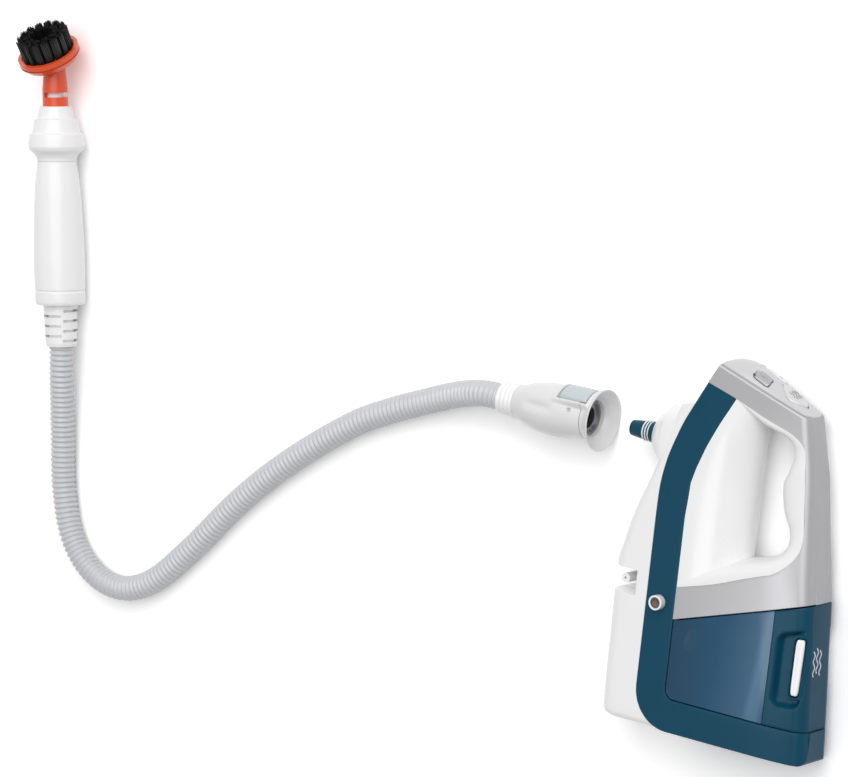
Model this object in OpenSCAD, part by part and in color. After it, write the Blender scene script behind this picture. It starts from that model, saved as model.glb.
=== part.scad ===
// Handheld steamer with an accessory hose, laid out on a table. Millimetres.
// +X is the steamer's rear, +Y its top, +Z its left side; the table is the plane z = 0.

/* [Steamer] */
// thickness of the steamer over its two side bands
thick = 48; // [44:1:56]
// height of the base's underside, seen from the datum on the lower band
base_y = -12; // [-16:0.5:-8]
// front edge of the side bands
band_front_x = -78; // [-84:0.5:-72]
// front edge of the tank, which is the rear edge of the bands
tank_front_x = -52.5; // [-56:0.5:-50]
// rear end of the base
rear_x = 66; // [60:0.5:72]
// front of the white body at its foot
nose_x = -110; // [-116:0.5:-104]
// height of the tank's floor above the datum
tank_floor_y = 13; // [8:0.5:18]
// thickness of the blue side bands
band_wall = 2.4; // [1.6:0.1:3.2]
// wall of the white body shells
shell_wall = 2.2; // [1.6:0.1:3]
// wall of the silver handle shells
handle_wall = 2.4; // [1.6:0.1:3]

/* [Handle] */
// half thickness of the handle, carried back to the datum
taper_h = 38.7; // [36:0.1:42]
// how much narrower each side gets per millimetre rearwards
taper_a = 0.104; // [0:0.002:0.16]
// how much narrower each side gets per millimetre upwards
taper_b = 0.083; // [0:0.002:0.12]
// radius of the crowned top
crown_r = 30; // [24:0.5:40]
// slope of the control panel
panel_slope = 26; // [18:0.5:32]
// wall of the control panel
panel_wall = 2.4; // [1.6:0.1:3.2]
// press of the steam button and the two small buttons
button_press = 1.5; // [1:0.1:2.5]
// how far the buttons stand out of the panel
button_proud = 1; // [0.4:0.1:2]

/* [Nozzle] */
// height of the steam nozzle's axis
nozzle_y = 205.5; // [200:0.5:212]
// radius of the nozzle where its seals sit
nozzle_r = 8; // [6:0.1:9]
// radius of the nozzle's tip
nozzle_tip_r = 6; // [4:0.1:7]
// front end of the nozzle
nozzle_tip_x = -121; // [-126:0.5:-114]
// radius of the steam channel
steam_r = 2; // [1:0.1:3]

/* [Tank] */
// wall of the water tank
tank_wall = 2; // [1.5:0.1:3]
// front of the tank's opaque rear grip
grip_x = 33.5; // [28:0.5:38]
// depth of the finger recesses in the grip
recess_depth = 7; // [4:0.5:9]
// inward travel of the tank's latch plates
latch_press = 2.5; // [1.5:0.1:3.5]
// radius of the tank's outlet pin
valve_r = 3; // [2:0.1:4]

/* [Strap stud and cord inlet] */
// outer radius of the strap stud
stud_r = 5.7; // [4.5:0.1:7]
// radius of the bore in the strap stud
stud_bore_r = 4.2; // [3:0.1:5]
// length of the strap stud
stud_length = 6.3; // [4:0.1:9]
// radius of the bore for the mains cord
cord_bore_r = 3.4; // [2.5:0.1:4.5]

/* [Coupling] */
// radius of the coupling's flared collar
flare_r = 24; // [22:0.5:26]
// radius of the mouth in the flare
mouth_r = 12; // [10:0.1:14]
// largest radius of the coupling's body
coupling_r = 20.3; // [18:0.1:22]
// front face of the coupling's collar
coupling_front_x = -148; // [-152:0.5:-140]
// press of the coupling's release button
release_press = 2.5; // [1.5:0.1:3.5]

/* [Hose and wand] */
// outer diameter of the corrugated hose
hose_d = 21; // [18:0.5:26]
// radius of the wand's widest ring
wand_ring_r = 23.8; // [22:0.1:24]
// radius of the wand's grip at its end
wand_grip_r = 21.2; // [19:0.1:22]
// radius of the wand's steam pipe
pipe_r = 7; // [5:0.1:8]
// radius of the brush head
brush_r = 26; // [22:0.5:30]
// length of the bristle tufts
tuft_length = 17; // [12:0.5:24]

/* [Hidden] */
$fn = 96;
mid = thick / 2;
inf = 500;
eps = 0.01;
// radial clearance between parts that move past each other
slack = 0.4;
// clearance of a fixed pin in its hole
fixed_clear = 0.1;
cavity_inset = band_wall + shell_wall;
taper_angle = acos(1 / sqrt(taper_a * taper_a + taper_b * taper_b + 1));
// silver handle: tank line
tank_line_y = 74;
tank_line_slope = 17.2;
tank_line_rise = tan(tank_line_slope);
function tank_top(x) = tank_line_y + (x - tank_front_x) * tank_line_rise;
// control panel frame: crown point
crown_x = -17;
crown_y = 276;
steam_at = [39, 0];
power_at = [11, 9];
mode_at = [17.5, -9];
lens_at = [0, -4];
steam_half = [12.5, 8.5];
power_half = [8, 4.5];
mode_half = [7, 4];
dome_front_x = -97.5;
nozzle_pilot_r = nozzle_r - 0.4;
flange = 1;
flange_top = -panel_wall - 1.2;
switch_top = flange_top - flange - button_press - 0.5;
switch_size = [12, 5.5, 6.5];
board_top = switch_top - switch_size[1];
board_wall = 1.6;

band_outer = [[-47, 256], [-55.7, 237.7], [-63.7, 221.6], [-71.8, 199.7], [-75.4, 185.3],
              [-77.4, 170.6], [band_front_x, 150], [band_front_x, 0]];
band_inner = [[tank_front_x, 30], [tank_front_x, 152], [-51.5, 167], [-50.9, 179.3],
              [-47.7, 190.9], [-41.4, 207.7], [-33, 226.2], [-22.4, 247.8]];
liner_seam = [[-22.4, 247.8], [0, 239], [12, 234.8], [23, 231], [31.3, 226.5], [36.5, 221],
              [38.5, 214], [43, 183], [46.3, 158], [45.6, 147], [41, 138], [33, 130],
              [25.2, 125], [14.2, 121.5], [-22.7, 107.6], [tank_front_x, 99]];
opening_points = [[-6, 229.5], [15, 228.4], [23.5, 225.8], [28, 219], [27.5, 203],
                  [27, 190], [30.5, 171], [35.5, 158], [36.2, 148], [32, 139], [24, 134],
                  [12.5, 131.5], [-12, 127]];
silver_rear = [[59.6, tank_top(59.6)], [58, 118], [52, 160], [46.5, 200], [36, 243]];
white_front = [[-108.5, 123], [-104.6, 139], [-98.1, 157], [-90.2, 176], [-84.5, 191],
               [-80, 205], [-74, 222], [-68, 236], [-56, 238], [-47, 256]];
notch_y = [85, 104];
notch_x = -89;
peg_at = [-101.5, 95];
peg_r = 3.8;
stud_at = [-66, 84.8];
stud_shank_r = 3;
inner_wall_x = -26.5;
post_relief = 0.3;
inner_wall_r = mid - band_wall - post_relief;
foot_r = 14;

// boiler, pump and tubes
boiler_at = [-72, 112];
thermostat_x = -78;
steam_pipe_x = -67;
boiler_r = 14;
boiler_length = 64;
pump_at = [-84, 38];
pump_r = 12;
pump_length = 36;
coil_r = 16;
tube_r = 2.5;
pressure_x = -80;
dock_y = 26;
board_x = -62;
gland_at = [nose_x, 6, mid + 6];
gland_r = 5.2;
gland_reach = 2;
screw_r = 1.6;
boss_r = 3.6;
bosses = [[-98, -2], [-59, 3], [-102, 76], [-100.5, 120], [-61, 192], [-30, 138], [-30, 222]];

// tank
latch_box = [[53, 62], [41, 82]];
recess_box = [[40, 90], [34, 84]];
latch_wall = 3;
latch_gap = latch_press + 0.3;
latch_y = [50, 73];
latch_stem_r = 2.6;
cap_r = 9;
cap_y = 56;

// coupling
flare_back_x = coupling_front_x - 12;
coupling_back_x = -226;
cuff_back_x = -242;
socket_floor_x = -196;
mouth_floor_x = -162;
seal_x = -184;
nozzle_bore_r = nozzle_r + slack;
release_r = 22.2;
release_lid_r = 21.2;
release_span = [-181, -155.5];
release_half = 9;
release_spring_r = 3;
release_floor = mouth_r + 1 + release_press + 0.5;
screw_x = -170;
screw_turn = 43;
coupling_roll = 24;

// wand frame: hose exit, tilt from the table and turn about the vertical
wand_at = [-693.5, 163.6, 20];
wand_tilt = 1.3;
wand_turn = 7.4;
wand_length = 201;
tip_from = wand_length - 46;
pipe_from = tip_from - 11;
pipe_reach = 13;
brush_from = wand_length + 31;
brush_tilt = 31.5;
brush_turn = 4.7;
wand_dir = [-sin(wand_turn) * cos(wand_tilt), cos(wand_turn) * cos(wand_tilt), sin(wand_tilt)];

// hose: hand-set points of its centre line, from the coupling to the wand
hose_points = [[cuff_back_x, nozzle_y, mid], [-262, 205, 23], [-290, 198, 16.5],
               [-322, 186, 11.5], [-356, 172, 10.5], [-393, 153, 10.5], [-449, 113, 10.5],
               [-496, 71, 10.5], [-543, 19, 10.5], [-580, -16, 10.5], [-613, -29, 10.5],
               [-645, -22, 10.5], [-671, 3, 10.5], [-685, 42, 10.5], [-690, 85, 12],
               [-691.5, 115, 15], [-692, 140, 18.5], wand_at];
hose_steps = 3;
hose_sides = 12;

// which node is drawn

// ---- helpers ----
module rounded(r) {
    offset(r = r, $fn = 32)
    offset(delta = -r)
    children();
}

module softened(r) {
    offset(delta = -r)
    offset(r = r, $fn = 32)
    children();
}

module side_plane(inset) {
    translate([0, 0, mid + taper_h - inset])
    rotate(a = taper_angle, v = [-taper_b, taper_a, 0])
    translate([-inf, -inf, -2 * inf])
    cube(2 * inf);
}

module envelope(inset) {
    intersection() {
        translate([-inf, -inf, inset])
        cube([2 * inf, 2 * inf, thick - 2 * inset]);
        side_plane(inset);
        translate([0, 0, thick])
        mirror([0, 0, 1])
        side_plane(inset);
    }
}

module slab(z0, z1) {
    translate([0, 0, z0])
    linear_extrude(z1 - z0)
    children();
}

module left_half() {
    intersection() {
        children();
        translate([-inf, -inf, mid])
        cube([2 * inf, 2 * inf, mid]);
    }
}

module right_half() {
    intersection() {
        children();
        translate([-inf, -inf, 0])
        cube([2 * inf, 2 * inf, mid]);
    }
}

// a cylinder along +X from x0 to x1
module rod_x(x0, x1, r, y, z) {
    translate([x0, y, z])
    rotate([0, 90, 0])
    cylinder(h = x1 - x0, r = r);
}

// a cylinder along +Y from y0 to y1
module rod_y(y0, y1, r, x, z) {
    translate([x, y0, z])
    rotate([-90, 0, 0])
    cylinder(h = y1 - y0, r = r);
}

// a solid of revolution about the nozzle's axis; points are [x, radius]
module turned_x(points) {
    translate([0, nozzle_y, mid])
    rotate([0, 90, 0])
    rotate_extrude()
    polygon([for (p = points) [p[1], p[0]]]);
}

module bosses_2d(r) {
    for (b = bosses) {
        translate(b)
        circle(r);
    }
}

module stud_circle(r) {
    translate(stud_at)
    circle(r);
}

// ---- side outlines ----
module band_2d() {
    difference() {
        union() {
            polygon(concat(band_outer, [[band_front_x, 18], [0, 18]], band_inner));
            difference() {
                hull() {
                    translate([band_front_x + 30, base_y + 30])
                    circle(30);
                    translate([rear_x - foot_r, base_y + foot_r])
                    circle(foot_r);
                    translate([rear_x - 1, tank_floor_y - 1])
                    circle(1, $fn = 16);
                    translate([band_front_x, base_y + 40])
                    square([60, 1]);
                }
                translate([tank_front_x, tank_floor_y])
                square(200);
            }
        }
        rounded(8)
        translate([tank_front_x, tank_floor_y])
        square([300, 139]);
    }
}

module white_2d() {
    polygon(concat([[nose_x + 6, base_y], [tank_front_x, base_y]], band_inner,
                   [for (i = [len(white_front) - 1:-1:0]) white_front[i]],
                   [[-112, 112], [-112.5, notch_y[1]], [notch_x, notch_y[1]],
                    [notch_x, notch_y[0]], [-112.5, notch_y[0]], [nose_x, base_y + 6],
                    [nose_x + 2, base_y + 2]]));
}

module loop_2d() {
    polygon(concat(liner_seam, [[-60, 99], [-60, 180], [-40, 246]]));
}

module opening_2d() {
    rounded(3)
    softened(6)
    polygon(opening_points);
}

module silver_2d() {
    polygon(concat([[-43.6, 263], [-47, 256]], liner_seam,
                   [[tank_front_x, tank_top(tank_front_x)]], silver_rear, [[35, 241]]));
}

module panel_2d() {
    polygon([[-43.6, 263], [-39.5, 271.5], [-32, 280], [0, 281], [40, 262], [38, 246],
             [36, 243], [35, 241]]);
}

// the white body in the handle loop: a round-backed post
module inner_post(r) {
    rod_y(90, 260, r, inner_wall_x, mid);
    translate([-70, 90, mid - r + post_relief])
    cube([70 + inner_wall_x, 170, 2 * (r - post_relief)]);
}

// ---- white body ----
module white_solid() {
    intersection() {
        union() {
            slab(0, thick)
            white_2d();
            intersection() {
                slab(0, thick)
                loop_2d();
                inner_post(inner_wall_r);
            }
        }
        envelope(band_wall);
    }
}

module white_cavity() {
    intersection() {
        union() {
            slab(0, thick)
            offset(delta = -shell_wall)
            white_2d();
            intersection() {
                slab(0, thick)
                offset(delta = -shell_wall)
                loop_2d();
                inner_post(inner_wall_r - shell_wall);
            }
        }
        envelope(cavity_inset);
    }
}

module white_shell() {
    difference() {
        white_solid();
        difference() {
            white_cavity();
            slab(0, thick)
            bosses_2d(boss_r);
        }
        slab(band_wall + 4, thick - band_wall - 4)
        bosses_2d(screw_r + fixed_clear);
        slab(-1, band_wall + 4 + eps)
        bosses_2d(screw_r + fixed_clear);
        slab(-1, band_wall + 2)
        bosses_2d(3);
        rod_x(-90, -60, nozzle_r + 4, nozzle_y, mid);
        rod_x(tank_front_x - 6, tank_front_x + 2, 4.5 + fixed_clear, dock_y, mid);
        rod_x(nose_x - 4, nose_x + 8, gland_r + fixed_clear, gland_at[1], gland_at[2]);
        translate([0, 0, mid])
        slab(0, thick)
        stud_circle(stud_shank_r + fixed_clear);
    }
}

module white_shell_left() {
    color("white")
    left_half()
    white_shell();
}

module white_shell_right() {
    color("white")
    right_half()
    white_shell();
}

module side_band() {
    intersection() {
        slab(0, thick)
        difference() {
            band_2d();
            stud_circle(stud_shank_r + fixed_clear);
        }
        difference() {
            envelope(0);
            envelope(band_wall);
        }
    }
}

module band_left() {
    color([0.05, 0.27, 0.4])
    left_half()
    side_band();
}

module band_right() {
    color([0.05, 0.27, 0.4])
    right_half()
    side_band();
}

module base_outline() {
    difference() {
        intersection() {
            band_2d();
            translate([tank_front_x, base_y - 1])
            square([200, tank_floor_y - base_y + 1]);
        }
        translate([tank_front_x - 1, tank_floor_y])
        square([200, 10]);
    }
}

module base_tray() {
    color([0.05, 0.27, 0.4])
    difference() {
        slab(band_wall, thick - band_wall)
        base_outline();
        slab(cavity_inset, thick - cavity_inset)
        offset(delta = -band_wall)
        base_outline();
        for (x = [-40, 48], z = [12, 36]) {
            rod_y(base_y - 1, base_y + 1.4, 5 + fixed_clear, x, z);
        }
    }
}

module rubber_feet() {
    color([0.1, 0.1, 0.1])
    for (x = [-40, 48], z = [12, 36]) {
        rod_y(base_y - 1, base_y + 1.4, 5, x, z);
    }
}

// ---- silver handle ----
module handle_shell() {
    difference() {
        intersection() {
            slab(0, thick)
            silver_2d();
            envelope(0);
        }
        intersection() {
            slab(0, thick)
            offset(delta = -handle_wall)
            silver_2d();
            envelope(handle_wall);
        }
        intersection() {
            slab(0, thick)
            polygon([[-30, 262], [30, 244], [30, 236], [-30, 255]]);
            envelope(handle_wall);
        }
    }
}

module handle_shell_left() {
    color([0.75, 0.76, 0.78])
    left_half()
    handle_shell();
}

module handle_shell_right() {
    color([0.75, 0.76, 0.78])
    right_half()
    handle_shell();
}

module grip_liner() {
    color([0.95, 0.95, 0.95])
    difference() {
        intersection() {
            slab(0, thick)
            loop_2d();
            envelope(0.6);
        }
        slab(-1, thick + 1)
        opening_2d();
        inner_post(inner_wall_r);
        translate([-80, 80, -1])
        cube([80 + inner_wall_x, 200, thick + 2]);
    }
}

// ---- control panel ----
// local frame: x along the panel, y out of it, origin on the crown
module panel_frame() {
    translate([crown_x, crown_y, mid])
    rotate([0, 0, -panel_slope])
    children();
}

module crown(inset) {
    panel_frame()
    translate([-120, -crown_r, 0])
    rotate([0, 90, 0])
    cylinder(h = 260, r = crown_r - inset);
}

module diamond(half) {
    rounded(3)
    polygon([[-half[0] - 2, 0], [0, half[1] + 2], [half[0] + 2, 0], [0, -half[1] - 2]]);
}

module pad(half) {
    rounded(2)
    square([2 * half[0], 2 * half[1]], center = true);
}

// a prism that stands out of the panel, from y0 to y1 in its frame
module panel_prism(at, y0, y1) {
    panel_frame()
    translate([at[0], y1, at[1]])
    rotate([90, 0, 0])
    linear_extrude(y1 - y0)
    children();
}

module control_panel() {
    color([0.78, 0.79, 0.8])
    difference() {
        intersection() {
            slab(0, thick)
            panel_2d();
            envelope(0);
            crown(0);
        }
        intersection() {
            slab(0, thick)
            offset(delta = -panel_wall)
            panel_2d();
            envelope(panel_wall);
            crown(panel_wall);
        }
        intersection() {
            slab(0, thick)
            polygon([[-38, 268], [32, 246], [32, 236], [-38, 255]]);
            envelope(panel_wall);
            crown(panel_wall);
        }
        panel_prism(steam_at, -20, 4)
        offset(delta = slack)
        diamond(steam_half);
        panel_prism(power_at, -20, 4)
        offset(delta = slack)
        pad(power_half);
        panel_prism(mode_at, -20, 4)
        offset(delta = slack)
        pad(mode_half);
        panel_prism(lens_at, -20, 4)
        circle(1.8 + fixed_clear);
    }
}

module indicator_lens() {
    color([0.8, 0.9, 0.8])
    panel_prism(lens_at, -panel_wall - 0.6, 0.5)
    circle(1.8);
}

module steam_button() {
    color([0.9, 0.9, 0.9]) {
        panel_prism(steam_at, flange_top, button_proud)
        diamond(steam_half);
        panel_prism(steam_at, flange_top - flange - 0.5, flange_top)
        circle(3);
    }
}

module power_button() {
    color([0.7, 0.71, 0.73]) {
        panel_prism(power_at, flange_top - 1, button_proud - 1.6)
        pad(power_half);
        panel_prism(power_at, flange_top - flange - 0.5, flange_top - 1)
        circle(2.4);
    }
}

module mode_button() {
    color([0.95, 0.95, 0.95]) {
        panel_prism(mode_at, flange_top - 1, button_proud - 1.6)
        pad(mode_half);
        panel_prism(mode_at, flange_top - flange - 0.5, flange_top - 1)
        circle(2.4);
    }
}

module micro_switches() {
    color([0.12, 0.12, 0.13])
    for (at = [steam_at, power_at, mode_at]) {
        panel_frame()
        translate([at[0] - switch_size[0] / 2, board_top, at[1] - switch_size[2] / 2])
        cube(switch_size);
    }
}

module switch_board() {
    color([0.1, 0.35, 0.2])
    intersection() {
        panel_frame()
        translate([0, board_top - board_wall, -mid])
        cube([49, board_wall, thick]);
        envelope(handle_wall);
    }
}

// ---- nozzle ----
module dome_solid(inset) {
    turned_x([[dome_front_x, 0], [dome_front_x, 10.5 - inset], [-96 + inset, 13 - inset],
              [-92 + inset, 17.5 - inset], [-88 + inset, 21 - inset], [-83 + inset, 24.6 - inset],
              [-82.6 + inset, 26.6 - inset], [-78, 28.8 - inset], [-70, 31.5 - inset],
              [-62, 33 - inset], [-62, 0]]);
}

module nozzle_dome() {
    color("white")
    difference() {
        intersection() {
            dome_solid(0);
            envelope(band_wall);
        }
        intersection() {
            dome_solid(2.4);
            envelope(cavity_inset);
            translate([-95.1, 0, 0])
            cube([60, 400, 100]);
        }
        slab(0, thick)
        white_2d();
        rod_x(-110, -60, nozzle_pilot_r + fixed_clear, nozzle_y, mid);
    }
}

module steam_nozzle() {
    color([0.05, 0.27, 0.4])
    difference() {
        turned_x([[nozzle_tip_x, 0], [nozzle_tip_x, nozzle_tip_r - 0.8],
                  [nozzle_tip_x + 0.8, nozzle_tip_r], [-109, 7.2], [-109, 6.6], [-107.8, 6.6],
                  [-107.8, 7.4], [-106.6, 7.4], [-106.6, 6.6], [-105.4, 6.6], [-105.4, 7.6],
                  [-104.2, 7.6], [-104.2, 6.6], [-103, 6.6], [-103, nozzle_r],
                  [dome_front_x, nozzle_r], [dome_front_x, nozzle_pilot_r], [-95.1, nozzle_pilot_r],
                  [-95.1, nozzle_pilot_r + 1.7], [-91, nozzle_pilot_r + 1.7], [-91, 6], [-84, 6],
                  [-84, 0]]);
        rod_x(nozzle_tip_x - 1, -80, steam_r, nozzle_y, mid);
    }
}

module nozzle_seals() {
    color([0.93, 0.93, 0.93])
    for (x = [-109, -106.6, -104.2]) {
        turned_x([[x, 6.6], [x, nozzle_r - 0.1], [x + 1.2, nozzle_r - 0.1], [x + 1.2, 6.6]]);
    }
}

module strap_stud() {
    color("white") {
        difference() {
            slab(thick, thick + stud_length)
            stud_circle(stud_r);
            slab(thick + 1, thick + stud_length + 1)
            stud_circle(stud_bore_r);
        }
        slab(thick - cavity_inset, thick)
        stud_circle(stud_shank_r);
    }
}

module parking_peg() {
    color("white")
    difference() {
        union() {
            slab(6, thick - 6)
            translate(peg_at)
            circle(peg_r);
            translate([peg_at[0], peg_at[1] - 1.5, mid - 8])
            cube([notch_x - peg_at[0], 3, 16]);
        }
        slab(thick - 12, thick)
        translate(peg_at)
        circle(1);
    }
}

// ---- steam unit ----
module boiler() {
    color([0.75, 0.75, 0.76]) {
        rod_y(boiler_at[1], boiler_at[1] + boiler_length, boiler_r, boiler_at[0], mid);
        rod_y(boiler_at[1] - 4, boiler_at[1], 4, pressure_x, mid);
    }
}

module boiler_heater() {
    color([0.6, 0.45, 0.25])
    difference() {
        rod_y(136, 152, boiler_r + 2, boiler_at[0], mid);
        rod_y(135, 153, boiler_r, boiler_at[0], mid);
    }
}

module cradles(x, r, ys, w, half) {
    difference() {
        for (y = ys) {
            translate([x - half, y, cavity_inset])
            cube([2 * half, w, mid - cavity_inset - 2]);
        }
        rod_y(ys[0] - 1, ys[1] + w + 1, r, x, mid);
    }
}

module boiler_bracket() {
    color([0.3, 0.3, 0.32])
    cradles(boiler_at[0], boiler_r, [120, 160], 8, boiler_r + 1);
}

module thermostat() {
    color([0.2, 0.2, 0.22]) {
        rod_y(boiler_at[1] + boiler_length, boiler_at[1] + boiler_length + 5, 5, thermostat_x, mid);
        rod_y(boiler_at[1] + boiler_length + 5, boiler_at[1] + boiler_length + 8, 2.5,
              thermostat_x, mid);
    }
}

module pump() {
    color([0.85, 0.85, 0.82]) {
        rod_y(pump_at[1], pump_at[1] + pump_length, pump_r, pump_at[0], mid);
        rod_y(pump_at[1] - 5, pump_at[1], 3.2, pump_at[0], mid);
        rod_y(pump_at[1] + pump_length, pump_at[1] + pump_length + 5, 3.2, pressure_x, mid);
    }
}

module pump_coil() {
    color([0.15, 0.15, 0.17])
    difference() {
        rod_y(50, 62, coil_r, pump_at[0], mid);
        rod_y(49, 63, pump_r, pump_at[0], mid);
    }
}

module pump_mounts() {
    color([0.08, 0.08, 0.08])
    cradles(pump_at[0], pump_r, [41, 66], 6, pump_r + 1);
}

module control_board() {
    color([0.1, 0.35, 0.2])
    translate([board_x, 36, cavity_inset])
    cube([1.6, 64, thick - 2 * cavity_inset]);
}

module board_parts() {
    color([0.15, 0.3, 0.6])
    translate([board_x - 4, 70, 10])
    cube([4, 14, 12]);
    color([0.1, 0.1, 0.1])
    rod_x(board_x - 4, board_x, 4, 44, 34);
    color([0.9, 0.9, 0.88])
    translate([board_x - 4, 88, 28])
    cube([4, 8, 10]);
}

module suction_tube() {
    color([0.85, 0.85, 0.85]) {
        rod_y(dock_y, pump_at[1] - 5, tube_r, pump_at[0], mid);
        translate([pump_at[0], dock_y, mid])
        sphere(tube_r);
        rod_x(pump_at[0], tank_front_x - 8, tube_r, dock_y, mid);
    }
}

module pressure_tube() {
    color([0.85, 0.85, 0.85])
    rod_y(pump_at[1] + pump_length + 5, boiler_at[1] - 4, tube_r, pressure_x, mid);
}

module steam_pipe() {
    color([0.75, 0.6, 0.35]) {
        rod_y(boiler_at[1] + boiler_length, nozzle_y, tube_r, steam_pipe_x, mid);
        translate([steam_pipe_x, nozzle_y, mid])
        sphere(tube_r);
        rod_x(-84, steam_pipe_x, tube_r, nozzle_y, mid);
    }
}

module tank_dock() {
    color([0.85, 0.85, 0.86])
    difference() {
        union() {
            rod_x(tank_front_x - 8, tank_front_x - shell_wall, 8, dock_y, mid);
            rod_x(tank_front_x - shell_wall, tank_front_x, 4.5, dock_y, mid);
        }
        rod_x(tank_front_x - 6, tank_front_x + 1, valve_r + slack, dock_y, mid);
        rod_x(tank_front_x - 4.5, tank_front_x - 2.5, 5.5, dock_y, mid);
    }
}

module dock_seal() {
    color([0.1, 0.1, 0.1])
    difference() {
        rod_x(tank_front_x - 4.5, tank_front_x - 2.5, 5.5, dock_y, mid);
        rod_x(tank_front_x - 5, tank_front_x - 2, valve_r + slack, dock_y, mid);
    }
}

module cord_gland() {
    color([0.2, 0.2, 0.21])
    difference() {
        union() {
            rod_x(nose_x - gland_reach, nose_x + 5, gland_r, gland_at[1], gland_at[2]);
            rod_x(nose_x + shell_wall + 0.6, nose_x + 5, 8, gland_at[1], gland_at[2]);
        }
        rod_x(nose_x - gland_reach - 1, nose_x + 6, cord_bore_r, gland_at[1], gland_at[2]);
    }
}

module shell_screws() {
    color([0.6, 0.6, 0.62]) {
        slab(band_wall + 2, mid + 8)
        bosses_2d(screw_r);
        slab(band_wall + 0.4, band_wall + 2)
        bosses_2d(2.9);
    }
}

// ---- water tank ----
module tank_2d() {
    rounded(2)
    polygon([[tank_front_x + 0.8, tank_floor_y + 7], [tank_front_x + 3, tank_floor_y + 2.8],
             [tank_front_x + 7, tank_floor_y + 0.6], [rear_x + 20, tank_floor_y + 0.6],
             [rear_x + 20, tank_top(rear_x + 20) - 0.8],
             [tank_front_x + 0.8, tank_top(tank_front_x + 0.8) - 0.8]]);
}

// rounded plan of the rear end, leaning forward with the handle
module rear_plan(inset) {
    translate([rear_x, tank_floor_y, 0])
    rotate([0, 0, 3.9])
    translate([0, -40, 0])
    rotate([-90, 0, 0])
    linear_extrude(180)
    translate([-inset, -thick + inset])
    offset(r = 9)
    translate([-180 + 9, 9])
    square([180 - 18, thick - 2 * inset - 18]);
}

module water_tank() {
    color([0.2, 0.45, 0.65, 0.5])
    difference() {
        intersection() {
            slab(0.6, thick - 0.6)
            tank_2d();
            translate([-200, -50, 0])
            cube([200 + grip_x, 300, thick]);
        }
        intersection() {
            slab(0.6 + tank_wall, thick - 0.6 - tank_wall)
            offset(delta = -tank_wall)
            tank_2d();
            translate([-200, -50, 0])
            cube([200 + grip_x - tank_wall, 300, thick]);
        }
        rod_x(-70, -40, valve_r + fixed_clear, dock_y, mid);
        rod_x(-70, -40, cap_r - 2, cap_y, mid);
    }
}

module tank_grip() {
    color([0.05, 0.27, 0.4])
    difference() {
        intersection() {
            slab(0, thick)
            tank_2d();
            translate([grip_x, -50, 0])
            cube([200, 300, thick]);
            rear_plan(0);
        }
        for (z = [-1, thick - recess_depth]) {
            translate([0, 0, z])
            linear_extrude(recess_depth + 1)
            rounded(4)
            translate([recess_box[0][0], recess_box[1][0]])
            square([recess_box[0][1] - recess_box[0][0], recess_box[1][1] - recess_box[1][0]]);
        }
        for (y = latch_y) {
            translate([57.5, y, -1])
            cylinder(h = thick + 2, r = latch_stem_r + slack);
        }
    }
}

module tank_cap() {
    color([0.9, 0.9, 0.9])
    rod_x(tank_front_x + 0.8 + tank_wall, tank_front_x + 6, cap_r, cap_y, mid);
}

module tank_valve() {
    color([0.3, 0.3, 0.32]) {
        rod_x(tank_front_x - 4, tank_front_x + 0.8 + tank_wall, valve_r, dock_y, mid);
        rod_x(tank_front_x + 0.8 + tank_wall, tank_front_x + 9, 6, dock_y, mid);
    }
}

module latch() {
    z0 = thick - recess_depth + latch_gap;
    slab(z0, z0 + latch_wall)
    rounded(3)
    translate([latch_box[0][0], latch_box[1][0]])
    square([latch_box[0][1] - latch_box[0][0], latch_box[1][1] - latch_box[1][0]]);
    for (y = latch_y) {
        translate([57.5, y, mid + 8])
        cylinder(h = z0 - mid - 8, r = latch_stem_r);
    }
}

module latch_left() {
    color("white")
    latch();
}

module latch_right() {
    color("white")
    translate([0, 0, thick])
    mirror([0, 0, 1])
    latch();
}

module latch_springs() {
    color([0.7, 0.7, 0.72])
    for (y = latch_y) {
        translate([57.5, y, mid - 5])
        difference() {
            cylinder(h = 10, r = latch_stem_r + slack);
            translate([0, 0, -1])
            cylinder(h = 12, r = latch_stem_r - 0.8);
        }
    }
}

// ---- coupling ----
// the coupling lies rolled on its axis, which brings its button to the left side
module rolled() {
    translate([0, nozzle_y, mid])
    rotate([coupling_roll, 0, 0])
    translate([0, -nozzle_y, -mid])
    children();
}

module screw_frame() {
    rolled()
    translate([screw_x, nozzle_y, mid])
    rotate([-screw_turn, 0, 0])
    children();
}

module coupling_body() {
    color("white")
    difference() {
        turned_x([[coupling_back_x, 0], [coupling_back_x, 12.6], [-222, 13.6], [-214, 16.8],
                  [-206, 18.9], [-197, 20.1], [-189, coupling_r], [-181, 19.6], [-174, 18.5],
                  [-166, 17.2], [flare_back_x, 16.6], [flare_back_x, 0]]);
        rod_x(socket_floor_x - 6, flare_back_x + 1, mouth_r + 2, nozzle_y, mid);
        rod_x(coupling_back_x - 1, socket_floor_x, 4, nozzle_y, mid);
        release_cut();
        screw_frame()
        translate([0, 0, 4])
        cylinder(h = 20, r = 1.7);
    }
}

module release_cut() {
    rolled()
    translate([release_span[0] - slack, nozzle_y + mouth_r + 1, mid - release_half - slack])
    cube([60, 20, 2 * release_half + 2 * slack]);
}

module coupling_collar() {
    color("white")
    turned_x([[flare_back_x, mouth_r], [flare_back_x, 16.6], [-155, 18.2], [-151.5, 20.6],
              [-149, 23.2], [-148.6, flare_r], [coupling_front_x, flare_r],
              [coupling_front_x, 22.8], [-151, 19.6], [-155, 15.4], [-156.5, mouth_r + 1],
              [-157, mouth_r]]);
}

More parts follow.
